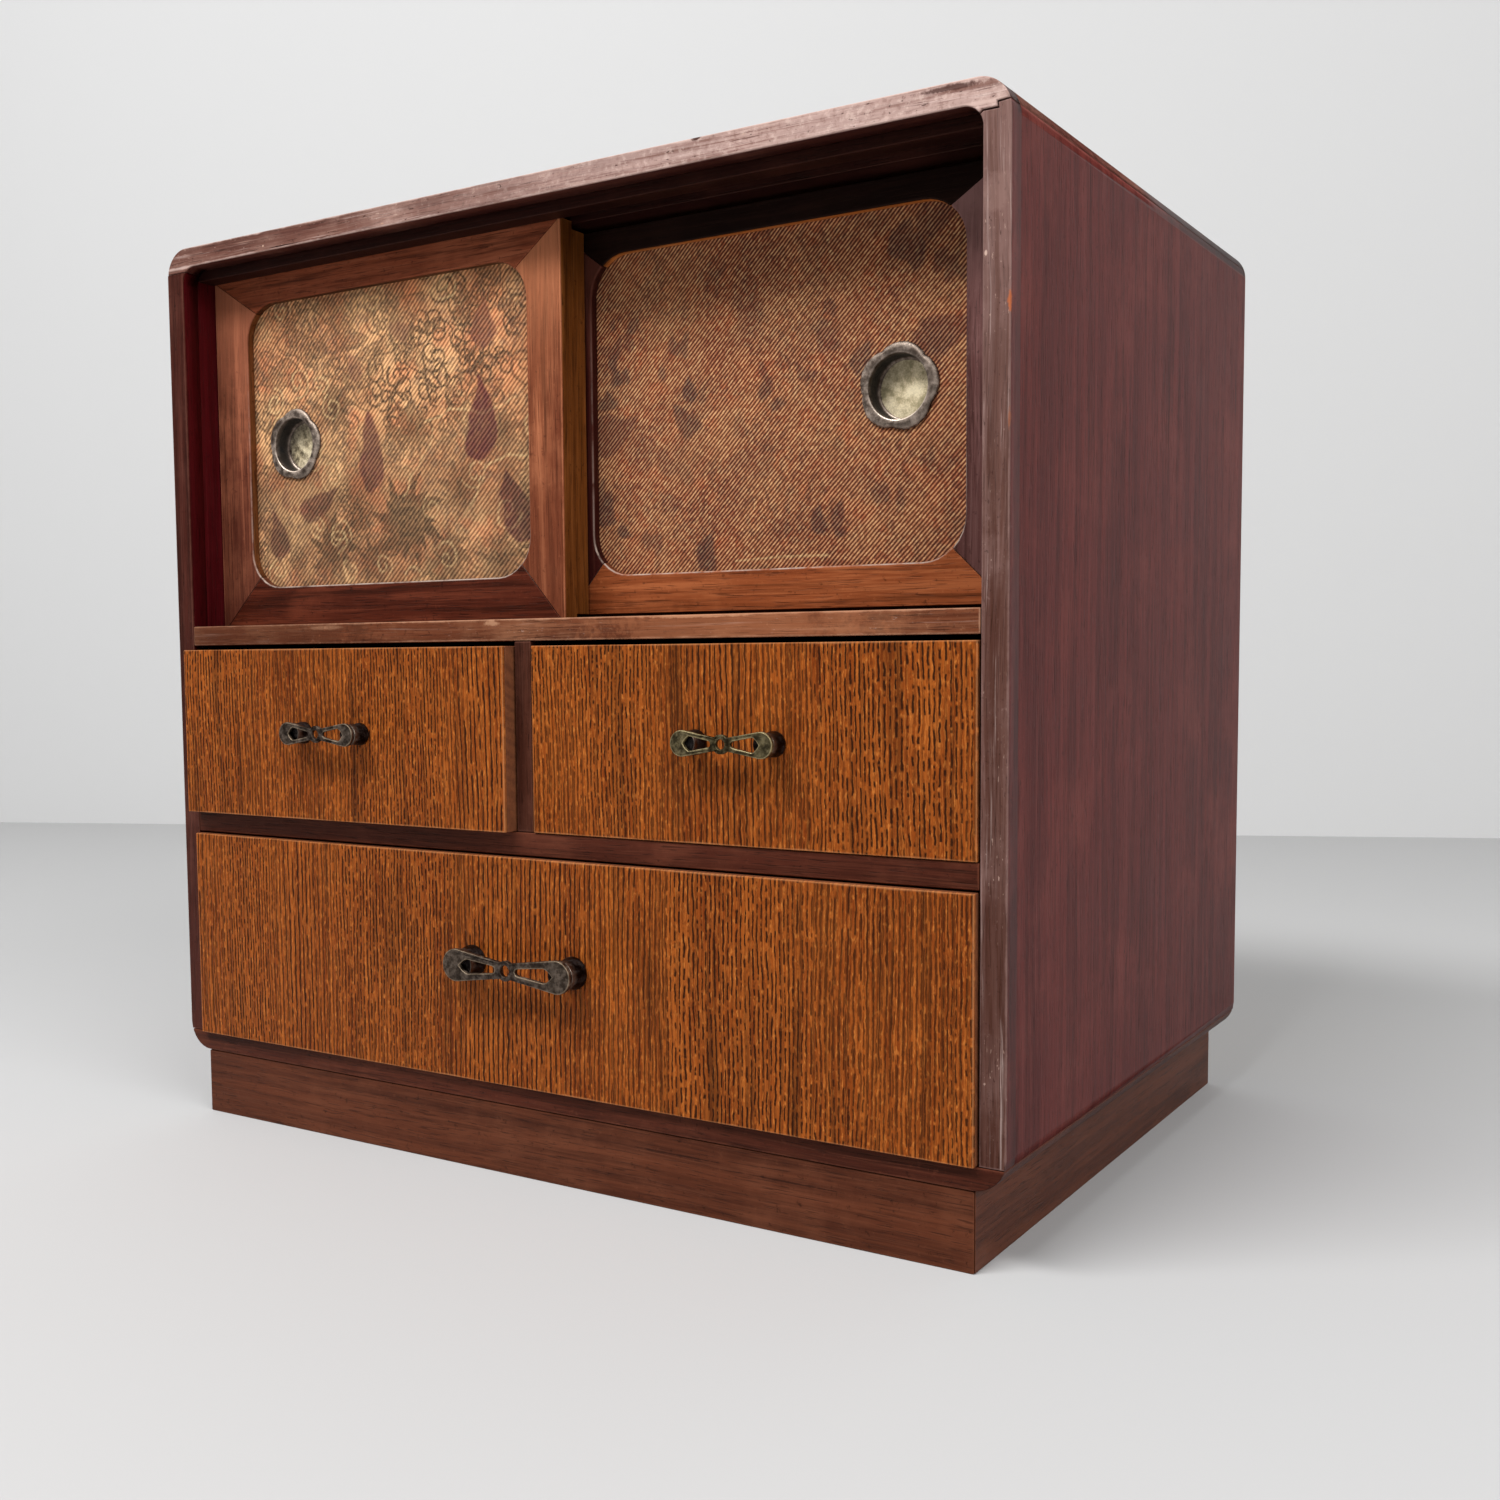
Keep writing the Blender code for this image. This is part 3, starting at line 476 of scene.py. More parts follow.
def flatten_normals(piece):
    """Keep flat faces flat beside their eased edges."""
    weighted = piece.modifiers.new("flat_faces", "WEIGHTED_NORMAL")
    weighted.keep_sharp = True
    weighted.weight = 100


TONES = np.random.default_rng(7)


def finish_board(piece, low, high):
    """Give a piece its board's corners, a random shift for its grain, and flat faces."""
    for name, value in (("low", low), ("high", high), ("tone", TONES.uniform(-3, 3, 3))):
        layer = piece.data.attributes.new(name, "FLOAT_VECTOR", "POINT")
        layer.data.foreach_set("vector", np.tile(np.array(value, np.float32), len(piece.data.vertices)))
    flatten_normals(piece)


def dressed_board(node, body, material, slot, width=0.0006, segments=2):
    """Eased copy of a board in its wood, standing for the CAD node."""
    form = merged_copy(node)
    ease(form, width, segments)
    finish_board(keep(form, node + "_wood", body, material, slot, node), *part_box(node))


# Finishes: deep, ground and pale tones of the faces and of the faded front edges
SIDE_TONES = (72, 21, 20), (94, 35, 32), (122, 63, 57)
INNER_TONES = (59, 5, 11), (75, 9, 16), (95, 24, 29)
PLINTH_TONES = (62, 29, 18), (93, 48, 30), (110, 64, 44)
TOP_WOOD = lacquered_wood(
    "top_lacquer", "x", ((62, 27, 24), (88, 44, 38), (128, 86, 74)),
    ((78, 44, 38), (112, 74, 64), (168, 132, 118)), 0.75, TOP_MARKS, 0.8, (204, 176, 166),
    bleach_and_sheen=(0.22, 0.80, 0.66, (204, 174, 165)))
# The right side's front edge gets a painted sheen, paler towards the top, and painted shade at its foot
RIGHT_SIDE_WOOD = lacquered_wood(
    "right_side_lacquer", "z", SIDE_TONES, ((66, 37, 29), (95, 64, 56), (142, 112, 106)), 0.5,
    SIDE_MARKS, 0.6, lining=("high", INNER_TONES), bleach_and_sheen=(0.5, 1.05, 0.45, (142, 112, 106)))
LEFT_SIDE_WOOD = lacquered_wood(
    "left_side_lacquer", "z", SIDE_TONES, ((47, 17, 12), (69, 30, 23), (102, 61, 51)), 0.5,
    lining=("low", INNER_TONES))
SHELF_WOOD = lacquered_wood(
    "shelf_lacquer", "x", ((58, 25, 17), (82, 39, 27), (122, 76, 56)),
    ((80, 39, 24), (109, 59, 37), (160, 110, 80)), 0.8, SILL_MARKS, 0.3, (178, 132, 104))
RAIL_WOOD = lacquered_wood("rail_lacquer", "x", ((50, 20, 13), (74, 33, 22), (106, 58, 41)))
# Upper track: dark lacquer with painted shade of the recess under the top board
TRACK_WOOD_AND_SHADE = lacquered_wood("track_lacquer", "x", ((24, 8, 7), (36, 13, 11), (60, 30, 24)), wear=0.3)
PLINTH_WOOD = lacquered_wood("plinth_lacquer", "x", PLINTH_TONES, wear=0.5, marks=PLINTH_MARKS)
PLINTH_SIDE_WOOD = lacquered_wood("plinth_side_lacquer", "y", PLINTH_TONES, wear=0.5)
DIVIDER_WOOD = lacquered_wood("divider_lacquer", "z", ((44, 20, 14), (66, 33, 23), (98, 60, 48)), wear=0.5)
OAK = oak_veneer("drawer_oak")
PALE_PINE, DARK_PINE = rgb(176, 142, 104), rgb(130, 94, 62)
BOX_WOOD_X = bare_wood("box_wood_across", "x", PALE_PINE, DARK_PINE)
BOX_WOOD_Y = bare_wood("box_wood_deep", "y", PALE_PINE, DARK_PINE)
BOX_WOOD_Z = bare_wood("box_wood_upright", "z", PALE_PINE, DARK_PINE)
CORE_WOOD = bare_wood("stained_core", "x", rgb(122, 70, 40), rgb(84, 44, 24))

# Carcass boards that keep their CAD outline
ROUGH_EDGE = 0.0004
for board, wood in (
        ("bottom_board", RAIL_WOOD), ("door_shelf", SHELF_WOOD), ("upper_door_track", TRACK_WOOD_AND_SHADE),
        ("drawer_rail", RAIL_WOOD), ("drawer_divider", DIVIDER_WOOD), ("plinth_front", PLINTH_WOOD),
        ("plinth_back", PLINTH_WOOD), ("plinth_left", PLINTH_SIDE_WOOD), ("plinth_right", PLINTH_SIDE_WOOD)):
    maroon = wood in (TRACK_WOOD_AND_SHADE, DIVIDER_WOOD)
    dressed_board(board, "cabinet", wood, "dark_maroon_lacquer" if maroon else "red_brown_lacquer")
for board, wood in (("back_panel", BOX_WOOD_Z), ("left_runner", BOX_WOOD_Y), ("centre_runner", BOX_WOOD_Y),
                    ("right_runner", BOX_WOOD_Y)):
    dressed_board(board, "cabinet", wood, "plain_softwood", ROUGH_EDGE, 1)

# Upper corners: the top's ends drop a little way down the sides, and the right joint has opened in steps
WIDE = 0.500
CORNER_ROUND, COVE, SIDE_BOARD, TOP_BOARD, BLOCK_DEPTH = 0.015, 0.009, 0.012, 0.0105, 0.0105
BOTTOM_BOARD, FOOT_GAP, FLANK_RISE = 0.0105, 0.0003, 0.0042
JOINT_DROP, JOINT_GAP, CRACK = 0.0130, 0.00022, 0.0007
# Places of the crack's corners: in from the right end and down from the top
STEPS = ((0.0124, 0.0131), (0.0057, 0.01305), (0.0061, 0.0108), (0.0007, 0.01035))
# Degrees: where the crack meets the hollow, above and below it, and how far it parts the rounded corner
CRACK_TOP, CRACK_FOOT, RIM_SHUT, RIM_OPEN = 36, 31.5, 1.0, 2.7


def arc(centre, radius, start, end, steps=10):
    angles = np.radians(np.linspace(start, end, steps + 1))
    return [(centre[0] + radius * cos(angle), centre[1] + radius * sin(angle)) for angle in angles]


def slab(form, outline, near, far):
    """Closed plate through an outline of (right, up) from the top left corner."""
    front = [form.verts.new((CORNER.x + x, CORNER.y + near, TOP_LEVEL + z)) for x, z in outline]
    grown = bmesh.ops.extrude_face_region(form, geom=[form.faces.new(front)])["geom"]
    back = [part for part in grown if isinstance(part, bmesh.types.BMVert)]
    bmesh.ops.translate(form, verts=back, vec=(0, far - near, 0))


def ease_front(form, width):
    """Round the edges that lie in the front face."""
    bmesh.ops.recalc_face_normals(form, faces=form.faces)
    ease(form, width, 2, [edge for edge in sharp_edges(form)
                          if all(abs(vert.co.y - CORNER.y) < TOUCH for vert in edge.verts)])


def cove_end(down):
    """Angle, and place across from the board's end, where a level line meets the hollow corner."""
    angle = asin((TOP_BOARD + COVE - down) / COVE)
    return degrees(angle), SIDE_BOARD + COVE * (1 - cos(angle))


def rounded_end(down):
    """Angle where a level line meets the rounded corner."""
    return degrees(asin((CORNER_ROUND - down) / CORNER_ROUND))


def mirrored(outline):
    return [(WIDE - across, up) for across, up in outline]


def crack_foot(gap):
    """Lower side of the crack, opened by a gap."""
    return [(x + gap * 0.7, z - gap) for x, z in crack]


BOARD_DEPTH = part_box("top_board")[1].y - CORNER.y
LEFT_ROUND, RIGHT_ROUND = (CORNER_ROUND, -CORNER_ROUND), (WIDE - CORNER_ROUND, -CORNER_ROUND)
LEFT_COVE = SIDE_BOARD + COVE, -TOP_BOARD - COVE
RIGHT_COVE = WIDE - SIDE_BOARD - COVE, -TOP_BOARD - COVE
joint_angle, joint_across = cove_end(JOINT_DROP)
right_angle = rounded_end(STEPS[3][1])
crack = [(WIDE - across, -down) for across, down in STEPS[:3]]
top_ends = (crack + arc(RIGHT_ROUND, CORNER_ROUND, right_angle, 90)
            + arc(LEFT_ROUND, CORNER_ROUND, 90, 180 - rounded_end(JOINT_DROP)))
top_form = bmesh.new()
slab(top_form, [(joint_across, -JOINT_DROP)] + arc(LEFT_COVE, COVE, 180 - joint_angle, 90)[1:]
     + arc(RIGHT_COVE, COVE, 90, CRACK_TOP) + top_ends, 0, BLOCK_DEPTH)
slab(top_form, [(SIDE_BOARD, -JOINT_DROP), (SIDE_BOARD, -TOP_BOARD), (WIDE - SIDE_BOARD, -TOP_BOARD),
                (WIDE - SIDE_BOARD, -STEPS[0][1])] + top_ends, BLOCK_DEPTH, BOARD_DEPTH)
ease_front(top_form, 0.0006)
top = keep(top_form, "top_board_wood", "cabinet", TOP_WOOD, "red_brown_lacquer",
           "top_board", "left_corner_block", "right_corner_block")
finish_board(top, (CORNER.x, CORNER.y, TOP_LEVEL - TOP_BOARD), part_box("top_board")[1])

side_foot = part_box("left_side_board")[0].z - TOP_LEVEL
shut_drop = JOINT_DROP + JOINT_GAP
foot_across = CORNER_ROUND - sqrt(CORNER_ROUND ** 2 - (CORNER_ROUND - BOTTOM_BOARD - FOOT_GAP) ** 2)
foot = [(foot_across, side_foot), (SIDE_BOARD, side_foot)]
flank = [(0, side_foot + FLANK_RISE)]
rim = arc(LEFT_ROUND, CORNER_ROUND, 180 - rounded_end(shut_drop), 180, 3)
left_form = bmesh.new()
slab(left_form, foot + arc(LEFT_COVE, COVE, 180, 180 - cove_end(shut_drop)[0]) + rim + flank, 0, BLOCK_DEPTH)
slab(left_form, foot + [(SIDE_BOARD, -shut_drop)] + rim + flank, BLOCK_DEPTH, BOARD_DEPTH)
right_foot, right_flank = mirrored(foot), mirrored(flank)
shut_rim = arc(RIGHT_ROUND, CORNER_ROUND, right_angle - RIM_SHUT, 0, 3)
open_rim = arc(RIGHT_ROUND, CORNER_ROUND, right_angle - RIM_OPEN, 0, 3)
right_form = bmesh.new()
slab(right_form, right_foot[:1] + right_flank + open_rim[::-1] + crack_foot(CRACK)[::-1]
     + arc(RIGHT_COVE, COVE, CRACK_FOOT, 0) + right_foot[1:], 0, BLOCK_DEPTH)
slab(right_form, right_foot[:1] + right_flank + shut_rim[::-1] + crack_foot(JOINT_GAP)[:0:-1]
     + [(WIDE - SIDE_BOARD, -STEPS[0][1] - JOINT_GAP)] + right_foot[1:], BLOCK_DEPTH, BOARD_DEPTH)
for form, side, wood in ((left_form, "left_side_board", LEFT_SIDE_WOOD),
                         (right_form, "right_side_board", RIGHT_SIDE_WOOD)):
    ease_front(form, 0.0007)
    finish_board(keep(form, side + "_wood", "cabinet", wood, "dark_maroon_lacquer", side), *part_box(side))

# Drawers
for drawer in DRAWERS:
    dressed_board(drawer + "_face", drawer, OAK, "oak_veneer", ROUGH_EDGE)
    dressed_board(drawer + "_front", drawer, CORE_WOOD, "plain_softwood", ROUGH_EDGE)
    for part, wood in (("left_side", BOX_WOOD_Y), ("right_side", BOX_WOOD_Y), ("back", BOX_WOOD_X),
                       ("bottom", BOX_WOOD_X)):
        dressed_board(drawer + "_" + part, drawer, wood, "plain_softwood", ROUGH_EDGE, 1)

# Door frames: tones of the front, then of the edges and inner lips
FRAME_TONES = {
    "left_door_left_stile": (((76, 36, 26), (108, 56, 40), (168, 102, 74)),
                             ((70, 36, 16), (104, 58, 28), (138, 86, 50))),
    "left_door_right_stile": (((99, 48, 30), (130, 71, 46), (188, 118, 82)),
                              ((82, 42, 13), (116, 66, 26), (142, 86, 42))),
    "left_door_top_rail": (((96, 46, 29), (132, 66, 42), (160, 92, 64)),
                           ((60, 30, 14), (90, 50, 26), (120, 76, 46))),
    "left_door_bottom_rail": (((55, 18, 9), (80, 32, 19), (114, 55, 36)),
                              ((60, 26, 14), (86, 42, 24), (130, 90, 70))),
    "right_door_left_stile": (((46, 12, 12), (60, 20, 18), (90, 50, 40)),
                              ((44, 12, 12), (58, 20, 16), (84, 46, 34))),
    "right_door_right_stile": (((69, 41, 38), (98, 62, 60), (152, 112, 108)),
                               ((70, 38, 20), (100, 58, 32), (130, 86, 56))),
    # Front painted near black as shade under the top board; edges and inner lips painted bright orange as a
    # highlight
    "right_door_top_rail": (((10, 4, 4), (17, 7, 6), (34, 18, 14)),
                            ((150, 78, 30), (190, 108, 46), (214, 140, 80))),
    "right_door_bottom_rail": (((113, 53, 25), (148, 76, 41), (182, 105, 63)),
                               ((90, 42, 20), (120, 62, 34), (150, 100, 74))),
}
FRAME_LIP, FRAME_EDGE, LIP_MARGIN = 0.0009, 0.00035, 0.004
BEAD_LINES, BEAD_DEPTH = (0.0017, 0.0013, 0.0009), 0.0006


def frame_member(node, door):
    """Mitred frame member with a rounder lip round the panel opening."""
    front, body = FRAME_TONES[node]
    upright = node.endswith("stile")
    # Upright members get a painted sheen, paler towards the top, and painted shade at the foot
    wood = lacquered_wood(node + "_lacquer", "z" if upright else "x", body, front, 0.5, figure=0.6,
                          bleach_and_sheen=(0.5, 1.05, 0.75, front[2]) if upright else None)
    low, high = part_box(node)
    form = merged_copy(node)
    panel_low, panel_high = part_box(door + "_panel")
    lips = [edge for edge in sharp_edges(form) if all(
        abs(vert.co.y - low.y) < TOUCH
        and panel_low.x + LIP_MARGIN < vert.co.x < panel_high.x - LIP_MARGIN
        and panel_low.z + LIP_MARGIN < vert.co.z < panel_high.z - LIP_MARGIN for vert in edge.verts)]
    # Lip points carry a painted highlight, strongest along the bottom rail and fading up the stiles
    layer = form.verts.layers.float.new("lip")
    for vert in ease(form, FRAME_LIP, 3, lips)["verts"]:
        up = (vert.co.z - panel_low.z) / (panel_high.z - panel_low.z)
        if low.y + 1e-5 < vert.co.y < low.y + FRAME_LIP - 1e-5:
            vert[layer] = 0.9 if up < 0.12 else max(0.0, 0.55 - 0.9 * up)
    ease(form, FRAME_EDGE, 2, sharp_edges(form, 40))
    if node == "left_door_right_stile":
        bead_groove(form, high.x, low.y)
    finish_board(keep(form, node + "_wood", door, wood, "door_frame_wood", node), low, high)


def bead_groove(form, side, front):
    """Fine groove beside the front arris of the meeting stile."""
    for across in BEAD_LINES:
        bmesh.ops.bisect_plane(form, geom=form.verts[:] + form.edges[:] + form.faces[:], dist=1e-7,
                               plane_co=(side - across, 0, 0), plane_no=(1, 0, 0))
    for vert in form.verts:
        if abs(vert.co.x - side + BEAD_LINES[1]) < TOUCH and abs(vert.co.y - front) < TOUCH:
            vert.co.y += BEAD_DEPTH


for door in DOORS:
    for part in ("left_stile", "right_stile", "top_rail", "bottom_rail"):
        frame_member(door + "_" + part, door)
    dressed_board(door + "_panel", door, BOX_WOOD_Z, "plain_softwood", 0.0003, 1)

# Metal
NICKEL = aged_metal("aged_nickel", (74, 61, 53), (136, 119, 107), (228, 212, 196), 0.46, 0.9)
BRONZE = aged_metal("dark_bronze", (40, 32, 28), (84, 71, 62), (160, 142, 120), 0.42, 0.75)
OLIVE_BRONZE = aged_metal("olive_bronze", (40, 35, 25), (94, 83, 54), (186, 170, 128), 0.38, 0.65)
IRON = aged_metal("blackened_iron", (16, 13, 13), (34, 28, 27), (120, 108, 98), 0.34, 0.6)

# Pulls: share of the lobes, radius and height above the panel in millimetres, rubbing and crust, from the
# flange's underside over its lip and down the cup, then back up outside. Rubbing below zero darkens the
# cup; on the inner lip and the floor's edge ring it is rubbing with a painted highlight.
PULL_LOBES, PULL_LOBE_RADIUS, PULL_LOBE_OFFSET, PULL_TURN = 5, 0.0136, 0.0062, radians(10)
PULL_ROUND, PULL_REACH = 150, 0.0196
PULL_ROWS = (
    (1.00, 19.45, 0.30, 0.0, 0), (1.00, 19.60, 0.45, 0.1, 0), (1.00, 19.56, 0.80, 0.2, 0),
    (1.00, 19.36, 1.18, 0.35, 0), (0.97, 18.98, 1.52, 0.45, 0), (0.85, 18.40, 1.82, 0.4, 0),
    (0.60, 17.70, 2.02, 0.35, 0), (0.30, 16.95, 2.10, 0.3, 0), (0.10, 16.20, 2.09, 0.3, 0),
    (0, 15.55, 2.02, 0.3, 0), (0, 15.15, 1.95, 0.4, 0), (0, 14.85, 1.86, 0.9, 0), (0, 14.64, 1.70, 1.0, 0),
    (0, 14.52, 1.42, 0.6, 0), (0, 14.48, 0.90, -0.3, 0), (0, 14.45, -1.5, -0.9, 0), (0, 14.40, -5.0, -0.9, 0),
    (0, 14.30, -6.7, -0.7, 0), (0, 13.90, -7.3, 0.6, 0.2), (0, 13.45, -7.55, 0.7, 0.3),
    (0, 13.10, -7.75, 0.1, 0.3), (0, 12.70, -7.85, 0.1, 0.7), (0, 11.0, -7.80, 0.0, 0.85),
    (0, 7.0, -7.75, 0.0, 1.0), (0, 3.0, -7.75, 0.0, 1.0), (0, 0.0, -7.75, 0.0, 1.0), (0, 0.0, -8.85, 0.2, 0),
    (0, 14.6, -8.85, 0.2, 0), (0, 15.40, -8.30, 0.3, 0), (0, 15.45, 0.20, 0.1, 0),
)
CRUST = {"left_door": 0.6, "right_door": 1.0}


def cup_centre(door):
    """Middle of the bore in the door panel."""
    low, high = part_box(door + "_panel")
    bore = [vert.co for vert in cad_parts[door + "_panel"].data.vertices
            if low.x + 0.002 < vert.co.x < high.x - 0.002]
    return tuple((min(spot[axis] for spot in bore) + max(spot[axis] for spot in bore)) / 2 for axis in (0, 2))


def lobed_radius(angle):
    """Reach of the plum-blossom edge at an angle."""
    sector = tau / PULL_LOBES
    swing = (angle - pi / 2 + PULL_TURN + sector / 2) % sector - sector / 2
    off = PULL_LOBE_OFFSET * sin(swing)
    return PULL_LOBE_OFFSET * cos(swing) + sqrt(PULL_LOBE_RADIUS ** 2 - off ** 2)


def blossom_pull(door):
    """Drawn cup with a rolled lip and a thin lobed flange."""
    panel_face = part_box(door + "_panel")[0].y
    centre = PULL_CENTRES[door]
    form = bmesh.new()
    rings, rubbed, crust = [], [], []
    start = pi / 2 - PULL_TURN + pi / PULL_LOBES
    for share, radius, height, shine, lime in PULL_ROWS:
        ring = []
        for step in range(PULL_ROUND):
            angle = start + tau * step / PULL_ROUND
            reach = radius / 1000 + share * (lobed_radius(angle) - PULL_REACH)
            ring.append(form.verts.new((centre[0] + reach * cos(angle), panel_face - height / 1000,
                                        centre[1] + reach * sin(angle))))
            # Painted highlight: the brightest rows, on the inner lip and the floor's edge ring, shine most
            # towards the bottom
            highlight_side = max(0.0, 0.1 * cos(angle) - sin(angle))
            bright = shine * (0.4 + 0.6 * highlight_side) if shine > 0.55 else shine
            # Painted shadow of the rim on the cup floor, darkest towards the upper left
            if -8 < height < -7 and radius < 13.3:
                bright -= 0.45 * max(0.0, (sin(angle) - cos(angle)) * 0.75 * radius / 13 - 0.05)
            rubbed.append(bright)
            crust.append(lime * CRUST[door])
        rings.append(ring)
    for inner, outer in zip(rings, rings[1:] + rings[:1]):
        for step in range(PULL_ROUND):
            form.faces.new((inner[step - 1], inner[step], outer[step], outer[step - 1]))
    mark_points(form, "rubbed", rubbed)
    mark_points(form, "crust", crust)
    bmesh.ops.remove_doubles(form, verts=form.verts, dist=TOUCH)
    bmesh.ops.recalc_face_normals(form, faces=form.faces)
    keep(form, door + "_pull_metal", door, NICKEL, "aged_nickel", door + "_pull")


PULL_CENTRES = {door: cup_centre(door) for door in DOORS}
for door in DOORS:
    blossom_pull(door)

# Handles: rim round the dished face of the plate, half of its plain middle, band of the posts with a painted
# highlight
PLATE_RIM, PLATE_DISH, PLATE_MIDDLE, POST_HIGHLIGHT_BAND = 0.00025, -0.00010, 0.0055, (0.0004, 0.0012)


def handle_plate(node, drawer, metal):
    """Pierced plate with a slightly dished face inside a rubbed rim."""
    low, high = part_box(node)
    form = merged_copy(node)
    layer = form.verts.layers.float.new("rubbed")
    ease(form, 0.0004, 3, sharp_edges(form, 40), clamp=False)
    form.normal_update()
    face = [part for part in form.faces
            if part.normal.y < -0.99 and part.calc_center_median().y < low.y + 1e-5]
    bmesh.ops.inset_region(form, faces=face, thickness=PLATE_RIM, depth=PLATE_DISH, use_even_offset=True)
    inner = set(vert for part in face for vert in part.verts)
    for vert in form.verts:
        front = vert.co.y < low.y + 0.0005
        vert[layer] = 0.3 if vert in inner else (0.6 if front else 0.2)
        if abs(vert.co.x - (low.x + high.x) / 2) < PLATE_MIDDLE:
            vert[layer] *= 0.4
    flatten_normals(keep(form, node + "_metal", drawer, metal, "dark_bronze", node))


for drawer in DRAWERS:
    handle_plate(drawer + "_handle_plate", drawer, OLIVE_BRONZE if drawer == "upper_right_drawer" else BRONZE)
    for side in ("left", "right"):
        post = drawer + "_handle_post_" + side
        form = merged_copy(post)
        ease(form, 0.0003)
        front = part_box(post)[0].y
        # Painted highlight band round the front of each post
        mark_points(form, "rubbed", [0.8 if front + POST_HIGHLIGHT_BAND[0] < vert.co.y < front + POST_HIGHLIGHT_BAND[1] else 0.15
                                     for vert in form.verts])
        keep(form, post + "_metal", drawer, IRON, "blackened_iron", post)


# Print: places in the inks, and half of the run of a line's edge
LEAF_INK, LINE_INK, PALE_INK, SOFT = 0, 1, 2, 0.00035
FERN_PAIRS = 6


def turned(points, angle, place):
    """Points turned by an angle and moved to a place."""
    return points @ np.array(((cos(angle), sin(angle)), (-sin(angle), cos(angle)))) + place


def ringed(place, reach, angle):
    """Points round a place."""
    return np.column_stack((place[0] + reach * np.cos(angle), place[1] + reach * np.sin(angle)))


def blade(middle, half):
    """Outline at half a width on both sides of a middle line."""
    aside = np.column_stack((0 * half, half))
    return np.vstack((middle + aside, (middle - aside)[::-1]))


class BlockPrint:
    """Three inks of a cloth print on a grid of points: maroon leaf, olive line and pale line."""

    def __init__(self, across, up):
        self.u, self.v = np.meshgrid(across, up)
        self.inks = np.zeros(self.u.shape + (3,))

    def blank(self):
        """Empty print on the same grid."""
        return BlockPrint(self.u[0], self.v[:, 0])

    def near(self, points, margin):
        """Slices of the grid round some points."""
        low, high = points.min(0) - margin, points.max(0) + margin
        columns = slice(*np.searchsorted(self.u[0], (low[0], high[0])))
        rows = slice(*np.searchsorted(self.v[:, 0], (low[1], high[1])))
        return rows, columns

    def press(self, area, ink, value):
        held = self.inks[area + (ink,)]
        np.maximum(held, value, out=held)

    def stroke(self, points, width, ink, strength):
        """Line along points."""
        points = np.asarray(points, float)
        for start, end in zip(points, points[1:]):
            area = self.near(np.array((start, end)), width + 2 * SOFT)
            u, v = self.u[area] - start[0], self.v[area] - start[1]
            run = end - start
            share = np.clip((u * run[0] + v * run[1]) / max(run @ run, 1e-12), 0, 1)
            gap = np.hypot(u - share * run[0], v - share * run[1])
            self.press(area, ink, strength * np.clip((width / 2 + SOFT - gap) / (2 * SOFT), 0, 1))

    def fill(self, points, ink, strength):
        """Solid shape inside points."""
        area = self.near(points, 0.001)
        u, v = self.u[area], self.v[area]
        inside = np.zeros(u.shape, bool)
        for (au, av), (bu, bv) in zip(points, np.roll(points, -1, 0)):
            if av != bv:
                inside ^= ((av > v) != (bv > v)) & (u < (bu - au) * (v - av) / (bv - av) + au)
        self.press(area, ink, strength * inside)

    def curl(self, place, radius, start, turns, width, ink, strength):
        """Spiral that winds in from its outer end."""
        share = np.linspace(0, 1, 28)
        points = ringed(place, radius * (1 - 0.86 * share), start + turns * tau * share)
        self.stroke(points, width, ink, strength)

    def leaf(self, place, angle, length, width, bend, strength, outline=0.0, veins=0):
        """Teardrop leaf from its stalk to its tip, filled, and outlined or hatched."""
        share = np.linspace(0, 1, 25)
        half = width / 2 * np.sin(np.pi * share ** 0.75) ** 0.8
        middle = np.column_stack((share * length, bend * length * np.sin(np.pi * share)))
        edge = turned(blade(middle, half), angle, place)
        self.fill(edge, LINE_INK, strength)
        if outline:
            self.stroke(np.vstack((edge, edge[:1])), outline, LINE_INK, 0.9)
        for step in np.linspace(0.15, 0.85, veins):
            foot = np.array((step * length, bend * length * sin(pi * step)))
            reach = width * 0.42 * sin(pi * step ** 0.75)
            for way in (1, -1):
                ends = np.array((foot, foot + (reach * 0.8, way * reach)))
                self.stroke(turned(ends, angle, place), 0.0010, LINE_INK, 0.85)

    def fern(self, place, angle, length, bend, size, strength):
        """Curved stalk with pairs of small leaves that shorten to its tip."""
        share = np.linspace(0, 1, 12)
        stalk = turned(np.column_stack((share * length, bend * length * share ** 2)), angle, place)
        self.stroke(stalk, 0.0009, LINE_INK, strength)
        for step in range(FERN_PAIRS):
            part = (step + 0.6) / FERN_PAIRS
            foot = np.array((np.interp(part, share, stalk[:, 0]), np.interp(part, share, stalk[:, 1])))
            lean = angle + atan(2 * bend * part)
            for way in (1, -1):
                leaflet = size * (1.15 - 0.7 * part)
                self.leaf(foot, lean + way * 0.75, leaflet, size * 0.42, 0.12 * way, strength)

    def flower(self, place, radius, petals, turn, strength):
        """Round petals about a ringed eye."""
        for petal in range(petals):
            angle = turn + petal * tau / petals
            self.leaf(place, angle, radius, radius * 0.95, 0.0, strength * 0.5, 0.0012)
        self.stroke(ringed(place, radius * 0.25, np.linspace(0, tau, 14)), 0.0012, LINE_INK, 1.0)

    def burst(self, place, radius, rays, turn, strength):
        """Narrow pointed leaves all round a middle."""
        for ray in range(rays):
            reach = radius * (1.0 if ray % 2 else 0.72)
            self.leaf(place, turn + ray * tau / rays, reach, radius * 0.24, 0.08, strength)

    def paisley(self, place, angle, length, width, hook, strength):
        """Maroon leaf whose narrow tip hooks over to one side."""
        share = np.linspace(0, 1, 25)
        half = width / 2 * np.sin(np.pi * share ** 0.66) ** 0.8 * (1 - 0.3 * share)
        middle = np.column_stack((share * length, hook * length * (share ** 3 - 0.5 * share)))
        self.fill(turned(blade(middle, half), angle, place), LEAF_INK, strength)

